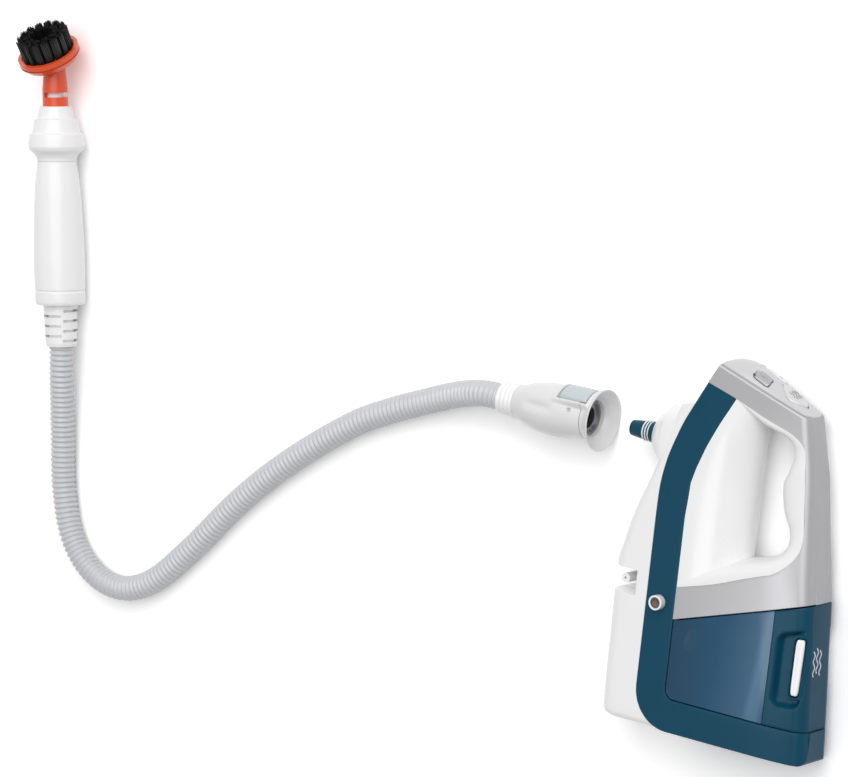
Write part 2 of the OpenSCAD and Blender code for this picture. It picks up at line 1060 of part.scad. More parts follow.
module coupling_socket() {
    color([0.35, 0.35, 0.37])
    difference() {
        rod_x(socket_floor_x - 6, flare_back_x, mouth_r + 2, nozzle_y, mid);
        rod_x(socket_floor_x, flare_back_x + 1, nozzle_bore_r, nozzle_y, mid);
        rod_x(mouth_floor_x, flare_back_x + 1, mouth_r, nozzle_y, mid);
        rod_x(socket_floor_x - 7, socket_floor_x + 1, steam_r, nozzle_y, mid);
        rod_x(seal_x, seal_x + 3, nozzle_bore_r + 1.6, nozzle_y, mid);
        release_cut();
    }
}

module socket_seal() {
    color([0.15, 0.15, 0.15])
    difference() {
        rod_x(seal_x, seal_x + 3, nozzle_bore_r + 1.6, nozzle_y, mid);
        rod_x(seal_x - 1, seal_x + 4, nozzle_bore_r, nozzle_y, mid);
    }
}

module release_button() {
    color([0.78, 0.8, 0.81])
    rolled()
    difference() {
        release_plate();
        rod_y(nozzle_y + release_floor - 1, nozzle_y + release_floor + release_press + 0.7,
              release_spring_r + slack, -168, mid);
    }
}

module release_plate() {
    intersection() {
        turned_x([[release_span[0], 0], [release_span[0], release_r - 1.4],
                  [release_span[0] + 4, release_r], [release_span[1], release_r],
                  [release_span[1], release_lid_r], [flare_back_x - slack, release_lid_r],
                  [flare_back_x - slack, 0]]);
        translate([release_span[0], nozzle_y + release_floor, mid - release_half])
        cube([release_span[1] - release_span[0], 20, 2 * release_half]);
    }
}

module release_spring() {
    color([0.7, 0.7, 0.72])
    rolled()
    difference() {
        rod_y(nozzle_y + mouth_r + 1, nozzle_y + release_floor + 0.5, release_spring_r,
              -168, mid);
        rod_y(nozzle_y + mouth_r, nozzle_y + mouth_r + 6, release_spring_r - 0.8, -168, mid);
    }
}

module coupling_screw() {
    color([0.3, 0.3, 0.32])
    screw_frame()
    translate([0, 0, mouth_r + 2])
    cylinder(h = 2.2, r = 1.6);
}

module coupling_cuff() {
    color("white")
    turned_x(concat([[cuff_back_x, 0]],
                    [for (i = [0:3])
                        for (p = [[0.4, 11], [1, 11.8], [2.4, 11.8], [3, 11], [3.4, 10.4]])
                            [cuff_back_x + 4 * i + p[0] - 0.4, p[1] + 0.25 * i]],
                    [[coupling_back_x, 11.6], [coupling_back_x, 0]]));
}

// ---- hose ----
function spline(a, b, c, d, t) =
    0.5 * ((2 * b) + (c - a) * t + (2 * a - 5 * b + 4 * c - d) * t * t
           + (3 * b - a - 3 * c + d) * t * t * t);
hose_last = len(hose_points) - 1;
hose_before = 2 * hose_points[0] - [cuff_back_x - 20, nozzle_y, mid];
hose_after = wand_at + 24 * wand_dir;
function hose_point(i) = i < 0 ? hose_before : i > hose_last ? hose_after : hose_points[i];
hose_line = concat([for (i = [0:hose_last - 1])
                       for (k = [0:hose_steps - 1])
                           spline(hose_point(i - 1), hose_point(i), hose_point(i + 1),
                                  hose_point(i + 2), k / hose_steps)],
                   [wand_at]);
function unit(v) = v / norm(v);
hose_rings = len(hose_line);
function hose_way(i) =
    i == 0 ? [-1, 0, 0]
    : i == hose_rings - 1 ? wand_dir
    : unit(hose_line[i + 1] - hose_line[i - 1]);
function hose_ring(i) =
    let (d = hose_way(i), s = unit(cross(d, [0, 0, 1])), u = cross(s, d))
    [for (k = [0:hose_sides - 1])
        hose_line[i] + hose_d / 2 * (cos(360 * k / hose_sides) * s
                                     + sin(360 * k / hose_sides) * u)];
hose_skin = [for (i = [0:hose_rings - 1]) for (p = hose_ring(i)) p];
hose_faces = concat(
    [[for (k = [0:hose_sides - 1]) k]],
    [for (i = [0:hose_rings - 2])
        for (k = [0:hose_sides - 1])
            let (n = (k + 1) % hose_sides, a = i * hose_sides, b = a + hose_sides)
            [a + k, b + k, b + n]],
    [for (i = [0:hose_rings - 2])
        for (k = [0:hose_sides - 1])
            let (n = (k + 1) % hose_sides, a = i * hose_sides, b = a + hose_sides)
            [a + k, b + n, a + n]],
    [[for (k = [hose_sides - 1:-1:0]) (hose_rings - 1) * hose_sides + k]]);

module hose() {
    color([0.75, 0.76, 0.77])
    polyhedron(hose_skin, hose_faces);
}

// ---- wand ----
// local frame: +Z runs from the hose towards the brush
module wand_frame() {
    translate(wand_at)
    rotate([-90 + wand_tilt, 0, wand_turn])
    children();
}

module turned_wand(points) {
    wand_frame()
    rotate_extrude()
    polygon([for (p = points) [p[1], p[0]]]);
}

module wand_sleeve() {
    color("white")
    difference() {
        turned_wand([[0, 0], [0, 12.4], [3, 13.2], [35, 14.4], [35, 0]]);
        wand_frame()
        for (i = [0:6]) {
            translate([0, 0, 4 + 4.2 * i])
            rotate([0, 0, 90 * (i % 2)])
            difference() {
                translate([-20, -9, 0])
                cube([40, 18, 2.2]);
                cylinder(h = 5, r = 10.6);
            }
        }
    }
}

module wand_grip() {
    color("white")
    difference() {
        turned_wand([[35, 0], [35, 20.2], [37, 21], [46, wand_grip_r], [46.6, 20.6],
                     [47.4, 20.6], [48, wand_grip_r], [tip_from - 68, wand_grip_r],
                     [tip_from - 45, 20.4], [tip_from - 24, 19.2], [tip_from - 7, 17.2],
                     [tip_from, 16.4], [tip_from, 0]]);
        turned_wand([[40, 0], [40, 16], [tip_from - 25, 15], [tip_from - 7, 12.6],
                     [tip_from - 7, 0]]);
        wand_frame()
        cylinder(h = 60, r = 3);
        wand_frame()
        translate([0, 0, tip_from - 15])
        cylinder(h = 30, r = pipe_r + fixed_clear);
    }
}

module wand_tip() {
    color("white")
    difference() {
        turned_wand([[tip_from, 0], [tip_from, 16.6], [tip_from + 3, 16.8],
                     [tip_from + 11, wand_ring_r], [tip_from + 23, wand_ring_r - 1.4],
                     [tip_from + 23.6, 20], [tip_from + 35, 18], [tip_from + 35.6, 15.6],
                     [wand_length, 13.2], [wand_length, 0]]);
        wand_frame()
        translate([0, 0, tip_from - 5])
        cylinder(h = 60, r = pipe_r + fixed_clear);
    }
}

module wand_pipe() {
    color([0.85, 0.85, 0.85])
    difference() {
        union() {
            wand_frame()
            translate([0, 0, pipe_from])
            cylinder(h = wand_length + pipe_reach - pipe_from, r = pipe_r);
            wand_frame()
            translate([0, 0, pipe_from])
            cylinder(h = 4, r = 11);
        }
        wand_frame()
        translate([0, 0, pipe_from - 1])
        cylinder(h = wand_length + pipe_reach - pipe_from + 2, r = 2.5);
    }
}

// brush frame: +Z runs out through the bristles
module brush_frame() {
    translate(wand_at + brush_from * wand_dir)
    rotate([-90 + brush_tilt, 0, brush_turn])
    children();
}

module brush_head() {
    color([0.88, 0.28, 0.1])
    difference() {
        union() {
            wand_frame()
            translate([0, 0, wand_length])
            cylinder(h = 14, r = 10.6);
            wand_frame()
            translate([0, 0, wand_length + 14])
            cylinder(h = brush_from - wand_length - 14, r1 = 10.6, r2 = 9);
            translate(wand_at + brush_from * wand_dir)
            sphere(9.2);
            brush_frame()
            cylinder(h = 8, r = 8.8);
            brush_frame()
            translate([0, 0, 7])
            cylinder(h = 5, r1 = brush_r - 4, r2 = brush_r);
            brush_frame()
            translate([0, 0, 12])
            cylinder(h = 1.2, r = brush_r - 1.2);
            brush_frame()
            translate([0, 0, 13.2])
            cylinder(h = 4.3, r = brush_r);
        }
        brush_frame()
        translate([0, 0, 15.5])
        cylinder(h = 5, r = brush_r - 3);
        wand_frame()
        translate([0, 0, wand_length - 1])
        cylinder(h = 15, r = pipe_r + slack);
        wand_frame()
        translate([0, 0, wand_length + 7.5])
        translate([-3, -14, 0])
        cube([17, 28, 4]);
        brush_frame()
        translate([0, 0, 2])
        cylinder(h = 20, r = 2);
    }
}

module bristle_tufts() {
    color([0.07, 0.07, 0.08])
    brush_frame()
    translate([0, 0, 15.5]) {
        for (i = [0:15]) {
            rotate([0, 0, 22.5 * i])
            translate([18.6, 0, 0])
            cylinder(h = tuft_length, r = 2.4);
        }
        for (i = [0:9]) {
            rotate([0, 0, 36 * i])
            translate([12, 0, 0])
            cylinder(h = tuft_length, r = 2.4);
        }
    }
}

white_shell_left();
white_shell_right();
band_left();
band_right();
base_tray();
handle_shell_left();
handle_shell_right();
grip_liner();
control_panel();
indicator_lens();
nozzle_dome();
steam_nozzle();
nozzle_seals();
strap_stud();
parking_peg();
boiler();
boiler_heater();
boiler_bracket();
thermostat();
pump();
pump_coil();
pump_mounts();
control_board();
board_parts();
switch_board();
micro_switches();
suction_tube();
pressure_tube();
steam_pipe();
tank_dock();
dock_seal();
cord_gland();
shell_screws();
rubber_feet();
water_tank();
tank_grip();
tank_cap();
tank_valve();
latch_left();
latch_right();
latch_springs();
steam_button();
power_button();
mode_button();
coupling_body();
coupling_collar();
coupling_socket();
socket_seal();
release_button();
release_spring();
coupling_cuff();
coupling_screw();
hose();
wand_sleeve();
wand_grip();
wand_tip();
wand_pipe();
brush_head();
bristle_tufts();
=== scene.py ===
# %% [markdown]
# # A handheld garment steamer with its accessory hose
# The steamer lies on a table on its right side, with a hose kit that plugs onto its nozzle.
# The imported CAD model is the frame: it holds every working part at its real size. This
# script gives each visible part its finish, and replaces the parts whose flat CAD skin is
# too plain with surfaces worked out from formulas. Sizes are millimetres until a mesh is made.

import math

import bmesh
import bpy
import numpy as np
from mathutils import Matrix


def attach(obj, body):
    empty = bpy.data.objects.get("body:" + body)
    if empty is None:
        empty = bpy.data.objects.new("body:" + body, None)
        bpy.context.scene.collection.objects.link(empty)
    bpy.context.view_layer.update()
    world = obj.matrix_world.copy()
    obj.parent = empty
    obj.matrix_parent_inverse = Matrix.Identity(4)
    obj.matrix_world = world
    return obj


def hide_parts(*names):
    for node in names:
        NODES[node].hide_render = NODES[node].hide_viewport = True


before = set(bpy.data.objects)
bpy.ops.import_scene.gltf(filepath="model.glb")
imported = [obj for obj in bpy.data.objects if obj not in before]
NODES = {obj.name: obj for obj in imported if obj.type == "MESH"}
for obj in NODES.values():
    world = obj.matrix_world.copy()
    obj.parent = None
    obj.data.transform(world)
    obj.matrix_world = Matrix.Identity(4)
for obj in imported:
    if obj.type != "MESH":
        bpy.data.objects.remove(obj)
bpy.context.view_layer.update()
MM = 0.001

# %% [markdown]
# ## The camera
# A long lens far away keeps the perspective slight. The camera looks at the steamer's left
# side, a little from its rear and from its head. Two directions fix its turn: its own up,
# and the way back from the object. Its right is square to both.

# %% Camera
EYE = np.array([1453.6, 743.7, 2552.1])
LENS = 169.57
BACK = np.array([0.565, 0.174, 0.807])
UP = np.array([-0.185, 0.979, -0.082])


def unit(v):
    """A vector, or each vector of an array, cut to length one."""
    v = np.asarray(v, float)
    return v / np.linalg.norm(v, axis=-1, keepdims=True)


camera = bpy.data.objects.new("camera", bpy.data.cameras.new("camera"))
bpy.context.scene.collection.objects.link(camera)
right = unit(np.cross(UP, BACK))
axes = np.column_stack([right, np.cross(unit(BACK), right), unit(BACK)])
camera.matrix_world = Matrix.Translation(EYE * MM) @ Matrix(axes.tolist()).to_4x4()
camera.data.lens = LENS
camera.data.sensor_width = 36
camera.data.clip_start = 0.1
camera.data.clip_end = 60
bpy.context.scene.camera = camera
print("camera at", (EYE * MM).round(3))

# %% [markdown]
# ## Turning grids into meshes
# Nearly every piece here is a grid of points: a section carried along a path. The faces of
# a grid follow one rule, so they can be worked out as whole arrays. A direction that closes
# on itself, like the way round a tube, is wrapped. Points that fall together at a pole are
# merged afterwards, which turns their quads into triangles.


# %% Grid and mesh helpers
def quads(rows, cols, wrap_rows=False, wrap_cols=False):
    """Faces of a grid: each joins point (i, j) to (i, j+1), (i+1, j+1) and (i+1, j)."""
    i, j = np.meshgrid(np.arange(rows - (not wrap_rows)), np.arange(cols - (not wrap_cols)),
                       indexing="ij")
    i2, j2 = (i + 1) % rows, (j + 1) % cols
    corners = [i * cols + j, i * cols + j2, i2 * cols + j2, i2 * cols + j]
    return np.stack(corners, -1).reshape(-1, 4)


def loft(rings, caps=True, closed=False):
    """Closed rings, shape (rows, cols, 3), joined into a skin with a flat cap at each end."""
    rows, cols = rings.shape[:2]
    faces = quads(rows, cols, wrap_rows=closed, wrap_cols=True).tolist()
    if caps and not closed:
        faces.append(list(range(cols - 1, -1, -1)))
        faces.append(list(range((rows - 1) * cols, rows * cols)))
    return rings.reshape(-1, 3), faces


def faces_outward(mesh, inside):
    """True if the mesh's triangles, seen from a point inside, sum to a positive volume."""
    mesh.calc_loop_triangles()
    corner = np.empty(len(mesh.loop_triangles) * 3, np.int32)
    mesh.loop_triangles.foreach_get("vertices", corner)
    place = np.empty(len(mesh.vertices) * 3, np.float32)
    mesh.vertices.foreach_get("co", place)
    a, b, c = (place.reshape(-1, 3)[corner].reshape(-1, 3, 3) - inside).transpose(1, 0, 2)
    return (np.cross(a, b) * c).sum() > 0


def weld(mesh):
    """Merges points that fall together, and turns the faces of closed skins outwards."""
    work = bmesh.new()
    work.from_mesh(mesh)
    bmesh.ops.remove_doubles(work, verts=work.verts, dist=2e-6)
    bmesh.ops.recalc_face_normals(work, faces=work.faces)
    work.to_mesh(mesh)
    work.free()


def piece(name, parts, body, stands_for, finish, sharp=32, shell=0.0, inside=None):
    """One object from (points in mm, faces) parts. A shell is open, and gets a wall inwards."""
    points = np.vstack([p for p, _ in parts]) * MM
    starts = np.cumsum([0] + [len(p) for p, _ in parts])
    faces = [[k + start for k in face] for (_, part), start in zip(parts, starts)
             for face in part]
    mesh = bpy.data.meshes.new(name)
    mesh.from_pydata(points.tolist(), [], faces)
    weld(mesh)
    if shell and not faces_outward(mesh, np.array(inside) * MM):
        mesh.flip_normals()
    mesh.shade_smooth()
    mesh.set_sharp_from_angle(angle=math.radians(sharp))
    obj = bpy.data.objects.new(name, mesh)
    bpy.context.scene.collection.objects.link(obj)
    if shell:
        wall = obj.modifiers.new("wall", "SOLIDIFY")
        wall.thickness = shell * MM
        wall.offset = -1
    mesh.materials.append(finish)
    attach(obj, body)
    if stands_for:
        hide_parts(*stands_for)
    print(f"{name}: {len(mesh.polygons)} faces for {', '.join(stands_for) or 'a mark'}")
    return obj


print(len(quads(3, 4)), "faces join a grid of 3 by 4 points")

# %% [markdown]
# Three more helpers make outlines and turned parts. A Catmull-Rom curve passes through a
# few chosen points; a corner is kept sharp by giving its point twice. A turned part is a
# profile of places along an axis and radii, carried round that axis, as on a lathe.


# %% Curves and turned parts
def curve(points, before=None, after=None, steps=6):
    """Catmull-Rom through points: each span is the cubic that leaves and enters along
    the line between its neighbours."""
    p = np.array(points, float)
    first = 2 * p[0] - p[1] if before is None else np.asarray(before)
    last = 2 * p[-1] - p[-2] if after is None else np.asarray(after)
    q = np.vstack([first, p, last])
    a, b, c, d = q[:-3], q[1:-2], q[2:-1], q[3:]
    t = (np.arange(steps) / steps)[:, None, None]
    line = 0.5 * (2 * b + (c - a) * t + (2 * a - 5 * b + 4 * c - d) * t ** 2
                  + (3 * b - a - 3 * c + d) * t ** 3)
    return np.vstack([line.transpose(1, 0, 2).reshape(-1, p.shape[1]), p[-1:]])


def soften(profile, radius, steps=4):
    """Each inner corner of a profile becomes a parabola that starts radius before it."""
    p = np.array(profile, float)
    a, b, c = p[:-2], p[1:-1], p[2:]
    into, out = np.linalg.norm(a - b, axis=1), np.linalg.norm(c - b, axis=1)
    start = b + (a - b) * (np.minimum(radius, into / 2.2) / into)[:, None]
    stop = b + (c - b) * (np.minimum(radius, out / 2.2) / out)[:, None]
    t = np.linspace(0, 1, steps)[:, None, None]
    round_ = (1 - t) ** 2 * start + 2 * t * (1 - t) * b + t ** 2 * stop
    return np.vstack([p[:1], round_.transpose(1, 0, 2).reshape(-1, 2), p[-1:]])


def turned(profile, origin, axis, up, sides=96, closed=False, reshape=None):
    """Rings about an axis: origin + along * axis + radius * (cos a * up + sin a * side)."""
    along, radius = np.array(profile, float).T
    axis, up = unit(axis), unit(up)
    side = np.cross(axis, up)
    angle = np.arange(sides) * 2 * np.pi / sides
    radius = np.repeat(radius[:, None], sides, 1)
    if reshape is not None:
        radius = reshape(along[:, None], angle[None], radius)
    way = np.cos(angle)[:, None] * up + np.sin(angle)[:, None] * side
    rings = np.asarray(origin) + along[:, None, None] * axis + radius[..., None] * way
    return loft(rings, caps=False, closed=closed)


NOZZLE_Y = 205.5
MID = 24.0


def nozzle_turned(profile, **options):
    """A part turned about the nozzle's axis; 'along' is the frame's own X."""
    return turned(profile, (0, NOZZLE_Y, MID), (1, 0, 0), (0, 1, 0), **options)


print("a curve through 3 points has", len(curve([(0, 0), (1, 1), (2, 0)])), "points")

# %% [markdown]
# ## Shared surface effects
# Moulded plastic is never perfectly even. One node group holds a slow unevenness and a fine
# grain, and gives back a factor for the colour, a roughness and a normal. Each material
# places the group with its own scale and strengths, and keeps its own shader.


# %% The grain group
def make_grain_group():
    """Slow noise varies colour and roughness; fine noise drives a bump."""
    group = bpy.data.node_groups.new("moulded_grain", "ShaderNodeTree")
    face = group.interface
    for name, kind, value in (("Colour", "NodeSocketColor", (0.8, 0.8, 0.8, 1)),
                              ("Roughness", "NodeSocketFloat", 0.35),
                              ("Grain size", "NodeSocketFloat", 900.0),
                              ("Grain", "NodeSocketFloat", 0.1),
                              ("Unevenness", "NodeSocketFloat", 0.04)):
        face.new_socket(name, in_out="INPUT", socket_type=kind).default_value = value
    for name, kind in (("Colour", "NodeSocketColor"), ("Roughness", "NodeSocketFloat"),
                       ("Normal", "NodeSocketVector")):
        face.new_socket(name, in_out="OUTPUT", socket_type=kind)
    node, link = group.nodes.new, group.links.new
    given, result = node("NodeGroupInput"), node("NodeGroupOutput")
    where = node("ShaderNodeTexCoord")
    slow, fine = node("ShaderNodeTexNoise"), node("ShaderNodeTexNoise")
    slow.inputs["Scale"].default_value = 22
    slow.inputs["Detail"].default_value = 3
    fine.inputs["Detail"].default_value = 2
    for noise in (slow, fine):
        link(where.outputs["Object"], noise.inputs["Vector"])
    link(given.outputs["Grain size"], fine.inputs["Scale"])
    centred = node("ShaderNodeMath")
    centred.operation = "SUBTRACT"
    centred.inputs[1].default_value = 0.5
    link(slow.outputs["Fac"], centred.inputs[0])
    swing = node("ShaderNodeMath")
    swing.operation = "MULTIPLY"
    link(centred.outputs[0], swing.inputs[0])
    link(given.outputs["Unevenness"], swing.inputs[1])
    factor = node("ShaderNodeMath")
    factor.operation = "ADD"
    factor.inputs[1].default_value = 1
    link(swing.outputs[0], factor.inputs[0])
    tint = node("ShaderNodeVectorMath")
    tint.operation = "SCALE"
    link(given.outputs["Colour"], tint.inputs[0])
    link(factor.outputs[0], tint.inputs["Scale"])
    link(tint.outputs["Vector"], result.inputs["Colour"])
    rough = node("ShaderNodeMath")
    rough.operation = "MULTIPLY_ADD"
    link(swing.outputs[0], rough.inputs[0])
    rough.inputs[1].default_value = 1.2
    link(given.outputs["Roughness"], rough.inputs[2])
    link(rough.outputs[0], result.inputs["Roughness"])
    bump = node("ShaderNodeBump")
    bump.inputs["Distance"].default_value = 0.0001
    link(given.outputs["Grain"], bump.inputs["Strength"])
    link(fine.outputs["Fac"], bump.inputs["Height"])
    link(bump.outputs["Normal"], result.inputs["Normal"])
    return group


GRAIN = make_grain_group()
print("the grain group has", len(GRAIN.nodes), "nodes")


def finish(name, colour, rough, grain=0.08, size=900, uneven=0.04, **sockets):
    """A Principled material fed by the grain group; other sockets are plain values."""
    material = bpy.data.materials.new(name)
    material.use_nodes = True
    tree = material.node_tree
    shader = tree.nodes["Principled BSDF"]
    group = tree.nodes.new("ShaderNodeGroup")
    group.node_tree = GRAIN
    group.inputs["Colour"].default_value = (*colour, 1)
    group.inputs["Roughness"].default_value = rough
    group.inputs["Grain size"].default_value = size
    group.inputs["Grain"].default_value = grain
    group.inputs["Unevenness"].default_value = uneven
    tree.links.new(group.outputs["Colour"], shader.inputs["Base Color"])
    tree.links.new(group.outputs["Roughness"], shader.inputs["Roughness"])
    tree.links.new(group.outputs["Normal"], shader.inputs["Normal"])
    for socket, value in sockets.items():
        shader.inputs[socket.replace("_", " ")].default_value = value
    return material


# %% [markdown]
# Each finish is written with the colour that the plastic, paint or metal has in linear
# light, except the coupling's darker white and the stud bore's dark colour, which are painted
# shade. White is kept a little under one so that its shading still shows. The silver is a
# paint with fine flakes, so it is only partly metallic and has a stronger, finer grain.

# %% Finishes
WHITE = finish("white_gloss", (0.86, 0.86, 0.865), 0.28, 0.03, 700, 0.03, Coat_Weight=0.3,
               Coat_Roughness=0.12)
# The coupling's white is the body's white darkened as painted shade.
COUPLING_SHADED_WHITE = finish("white_painted_shade", (0.72, 0.72, 0.725), 0.3, 0.03, 700, 0.04,
                  Coat_Weight=0.3, Coat_Roughness=0.12)
LINER = finish("white_satin", (0.84, 0.84, 0.845), 0.42, 0.05, 900, 0.03)
BLUE = finish("teal_blue_gloss", (0.0008, 0.054, 0.1), 0.34, 0.05, 900, 0.12,
              Specular_IOR_Level=0.16)
SILVER = finish("silver_paint", (0.37, 0.37, 0.383), 0.36, 0.12, 2600, 0.05, Metallic=0.6)
PANEL = finish("panel_silver", (0.58, 0.58, 0.59), 0.38, 0.1, 2600, 0.04, Metallic=0.3)
KEY_SILVER = finish("key_silver", (0.42, 0.42, 0.44), 0.35, 0.1, 2600, 0.05, Metallic=0.3)
STEAM_SILVER = finish("key_light_silver", (0.64, 0.64, 0.65), 0.35, 0.1, 2600, 0.05,
                      Metallic=0.2)
# Painted shade: the stud bore's dark brown-grey stands in for the shadow inside the hole.
BORE_PAINTED_SHADE = finish("stud_bore_painted_shade", (0.13, 0.1, 0.085), 0.6, 0.1, 1200, 0.1)
KEY_WHITE = finish("key_white", (0.85, 0.85, 0.86), 0.3, 0.04, 900, 0.03)
KEY_LINES = finish("key_lines", (0.16, 0.16, 0.175), 0.5, 0.05, 900, 0.05)
LENS_GLASS = finish("lens_clear", (0.75, 0.78, 0.76), 0.12, 0.02, 900, 0.02,
                    Transmission_Weight=0.3)
TANK = finish("tank_tinted_painted_light", (0.012, 0.095, 0.2), 0.12, 0.02, 400, 0.1, Alpha=0.86,
              Specular_IOR_Level=0.35)
SEAL = finish("seal_white", (0.8, 0.81, 0.81), 0.5, 0.08, 900, 0.04)
HOSE_GREY = finish("hose_grey", (0.55, 0.565, 0.585), 0.27, 0.03, 900, 0.06,
                   Coat_Weight=0.4, Coat_Roughness=0.1)
RELEASE = finish("release_blue_grey", (0.52, 0.57, 0.6), 0.3, 0.05, 900, 0.04)
SOCKET = finish("socket_metal", (0.3, 0.3, 0.315), 0.3, 0.1, 1800, 0.2, Metallic=0.85)
ORANGE = finish("orange_gloss", (0.72, 0.07, 0.008), 0.33, 0.05, 900, 0.08,
                Coat_Weight=0.2)
BRISTLE = finish("bristle_black", (0.006, 0.006, 0.007), 0.4, 0.1, 1500, 0.2)
RUBBER = finish("rubber_black", (0.02, 0.02, 0.021), 0.65, 0.2, 1200, 0.2)
DARK = finish("dark_plastic", (0.035, 0.035, 0.04), 0.45, 0.12, 1200, 0.15)
STEEL = finish("zinc_steel", (0.55, 0.55, 0.57), 0.3, 0.1, 2200, 0.15, Metallic=1.0)
CAST = finish("cast_aluminium", (0.55, 0.55, 0.56), 0.5, 0.4, 1500, 0.15, Metallic=0.9)
COPPER = finish("wound_copper", (0.42, 0.16, 0.07), 0.4, 0.3, 1500, 0.2, Metallic=0.9)
BRASS = finish("drawn_brass", (0.55, 0.38, 0.15), 0.3, 0.1, 1500, 0.15, Metallic=1.0)
BOARD = finish("circuit_board", (0.02, 0.13, 0.05), 0.35, 0.15, 1500, 0.15)
GLAND = finish("gland_grey", (0.09, 0.09, 0.095), 0.5, 0.15, 1200, 0.1)
MARK = finish("printed_grey", (0.6, 0.63, 0.65), 0.45, 0.05, 1200, 0.05)
print(len(bpy.data.materials), "materials")

# %% [markdown]
# Working parts that are a box, a cylinder or a coil in real life look right with the CAD
# model's own mesh. They keep it, and only get a finish.

# %% Finishes of the CAD nodes
CAD_FINISH = {
    "boiler": CAST, "boiler_heater": COPPER, "boiler_bracket": DARK, "thermostat": DARK,
    "pump": SEAL, "pump_coil": COPPER, "pump_mounts": RUBBER, "control_board": BOARD,
    "board_parts": DARK, "switch_board": BOARD, "micro_switches": DARK,
    "suction_tube": SEAL, "pressure_tube": SEAL, "steam_pipe": BRASS, "tank_dock": SEAL,
    "dock_seal": RUBBER, "cord_gland": GLAND, "shell_screws": STEEL, "rubber_feet": RUBBER,
    "tank_cap": SEAL, "tank_valve": DARK, "latch_springs": STEEL, "socket_seal": RUBBER,
    "release_spring": STEEL, "coupling_screw": STEEL, "coupling_socket": SOCKET,
    "wand_sleeve": WHITE, "wand_pipe": SEAL, "parking_peg": WHITE, "brush_head": ORANGE,
}
for name, material in CAD_FINISH.items():
    NODES[name].data.materials.clear()
    NODES[name].data.materials.append(material)
print(len(CAD_FINISH), "CAD nodes keep their shape and get a finish")

# %% [markdown]
# The tank's blue has painted shading, darker towards its front and lighter towards its rear,
# and a painted highlight: a lighter stripe near its rear wall. A colour ramp along the tank
# gives that. It reads the place in Object coordinates, so it belongs to the tank and moves with
# it.

# %% Tint and painted light of the tank
def tint_and_painted_light_by_place(material, ramp, way, start, stop):
    """Replaces the group's plain colour: the place along 'way', from start to stop in
    millimetres, picks a colour from the ramp."""
    tree = material.node_tree
    group = next(n for n in tree.nodes if n.bl_idname == "ShaderNodeGroup")
    where = tree.nodes.new("ShaderNodeTexCoord")
    along = tree.nodes.new("ShaderNodeVectorMath")
    along.operation = "DOT_PRODUCT"
    along.inputs[1].default_value = way
    reach = tree.nodes.new("ShaderNodeMapRange")
    reach.inputs["From Min"].default_value = start * MM
    reach.inputs["From Max"].default_value = stop * MM
    colours = tree.nodes.new("ShaderNodeValToRGB")
    while len(colours.color_ramp.elements) < len(ramp):
        colours.color_ramp.elements.new(0.5)
    for element, (at, colour) in zip(colours.color_ramp.elements, ramp):
        element.position = at
        element.color = (*colour, 1)
    tree.links.new(where.outputs["Object"], along.inputs[0])
    tree.links.new(along.outputs["Value"], reach.inputs["Value"])
    tree.links.new(reach.outputs["Result"], colours.inputs["Fac"])
    tree.links.new(colours.outputs["Color"], group.inputs["Colour"])


# The ramp darkens the blue towards the front as painted shading; its steps at 0.86 and 0.93 are a
# painted highlight stripe.
TANK_TINT_AND_PAINTED_LIGHT = [(0.0, (0.002, 0.052, 0.112)), (0.45, (0.008, 0.08, 0.165)),
              (0.8, (0.045, 0.13, 0.235)), (0.86, (0.09, 0.2, 0.33)),
              (0.93, (0.085, 0.19, 0.31)), (1.0, (0.03, 0.11, 0.2))]
tint_and_painted_light_by_place(TANK, TANK_TINT_AND_PAINTED_LIGHT, way=(1.0, -0.12, 0.0), start=-58, stop=31)
print("the tank's tint has", len(TANK_TINT_AND_PAINTED_LIGHT), "steps")

# %% [markdown]
# ## The hose
# A corrugated hose is a tube whose radius dips between its ribs. The route is the CAD
# one, kept as a few chosen points: out of the coupling, down to the table, round one wide
# bend and up into the wand. Rings are spaced evenly along it, several to each rib, and the
# radius is the outer one less a narrow cosine groove.

# %% Hose
HOSE_R = 10.5
RIB = 4.4
GROOVE = 1.6
RINGS_A_RIB = 7
COUPLING_END = (-242, 205.5, 24)
WAND_AT = np.array([-693.5, 163.6, 20])
WAND_TILT, WAND_TURN = math.radians(1.3), math.radians(7.4)
WAND_WAY = np.array([-math.sin(WAND_TURN) * math.cos(WAND_TILT),
                     math.cos(WAND_TURN) * math.cos(WAND_TILT), math.sin(WAND_TILT)])
HOSE_POINTS = [COUPLING_END, (-262, 205, 23), (-290, 198, 16.5), (-322, 186, 11.5),
               (-356, 172, 10.5), (-393, 153, 10.5), (-449, 113, 10.5), (-496, 71, 10.5),
               (-543, 19, 10.5), (-580, -16, 10.5), (-613, -29, 10.5), (-645, -22, 10.5),
               (-671, 3, 10.5), (-685, 42, 10.5), (-690, 85, 12), (-691.5, 115, 15),
               (-692, 140, 18.5), tuple(WAND_AT)]


def evenly(line, step):
    """The points at equal distances along a line, about step apart, and its length."""
    gone = np.concatenate([[0], np.cumsum(np.linalg.norm(np.diff(line, axis=0), axis=1))])
    places = np.linspace(0, gone[-1], int(round(gone[-1] / step)) + 1)
    return np.column_stack([np.interp(places, gone, line[:, k]) for k in range(3)]), places


def tube(line, radius, sides):
    """Rings square to a line that lies nearly flat: one arm level, the other across it."""
    way = unit(np.gradient(line, axis=0))
    level = unit(np.cross(way, (0, 0, 1)))
    across = np.cross(level, way)
    angle = np.arange(sides) * 2 * np.pi / sides
    arm = (np.cos(angle)[:, None] * level[:, None] + np.sin(angle)[:, None] * across[:, None])
    return loft(line[:, None] + radius[:, None, None] * arm)


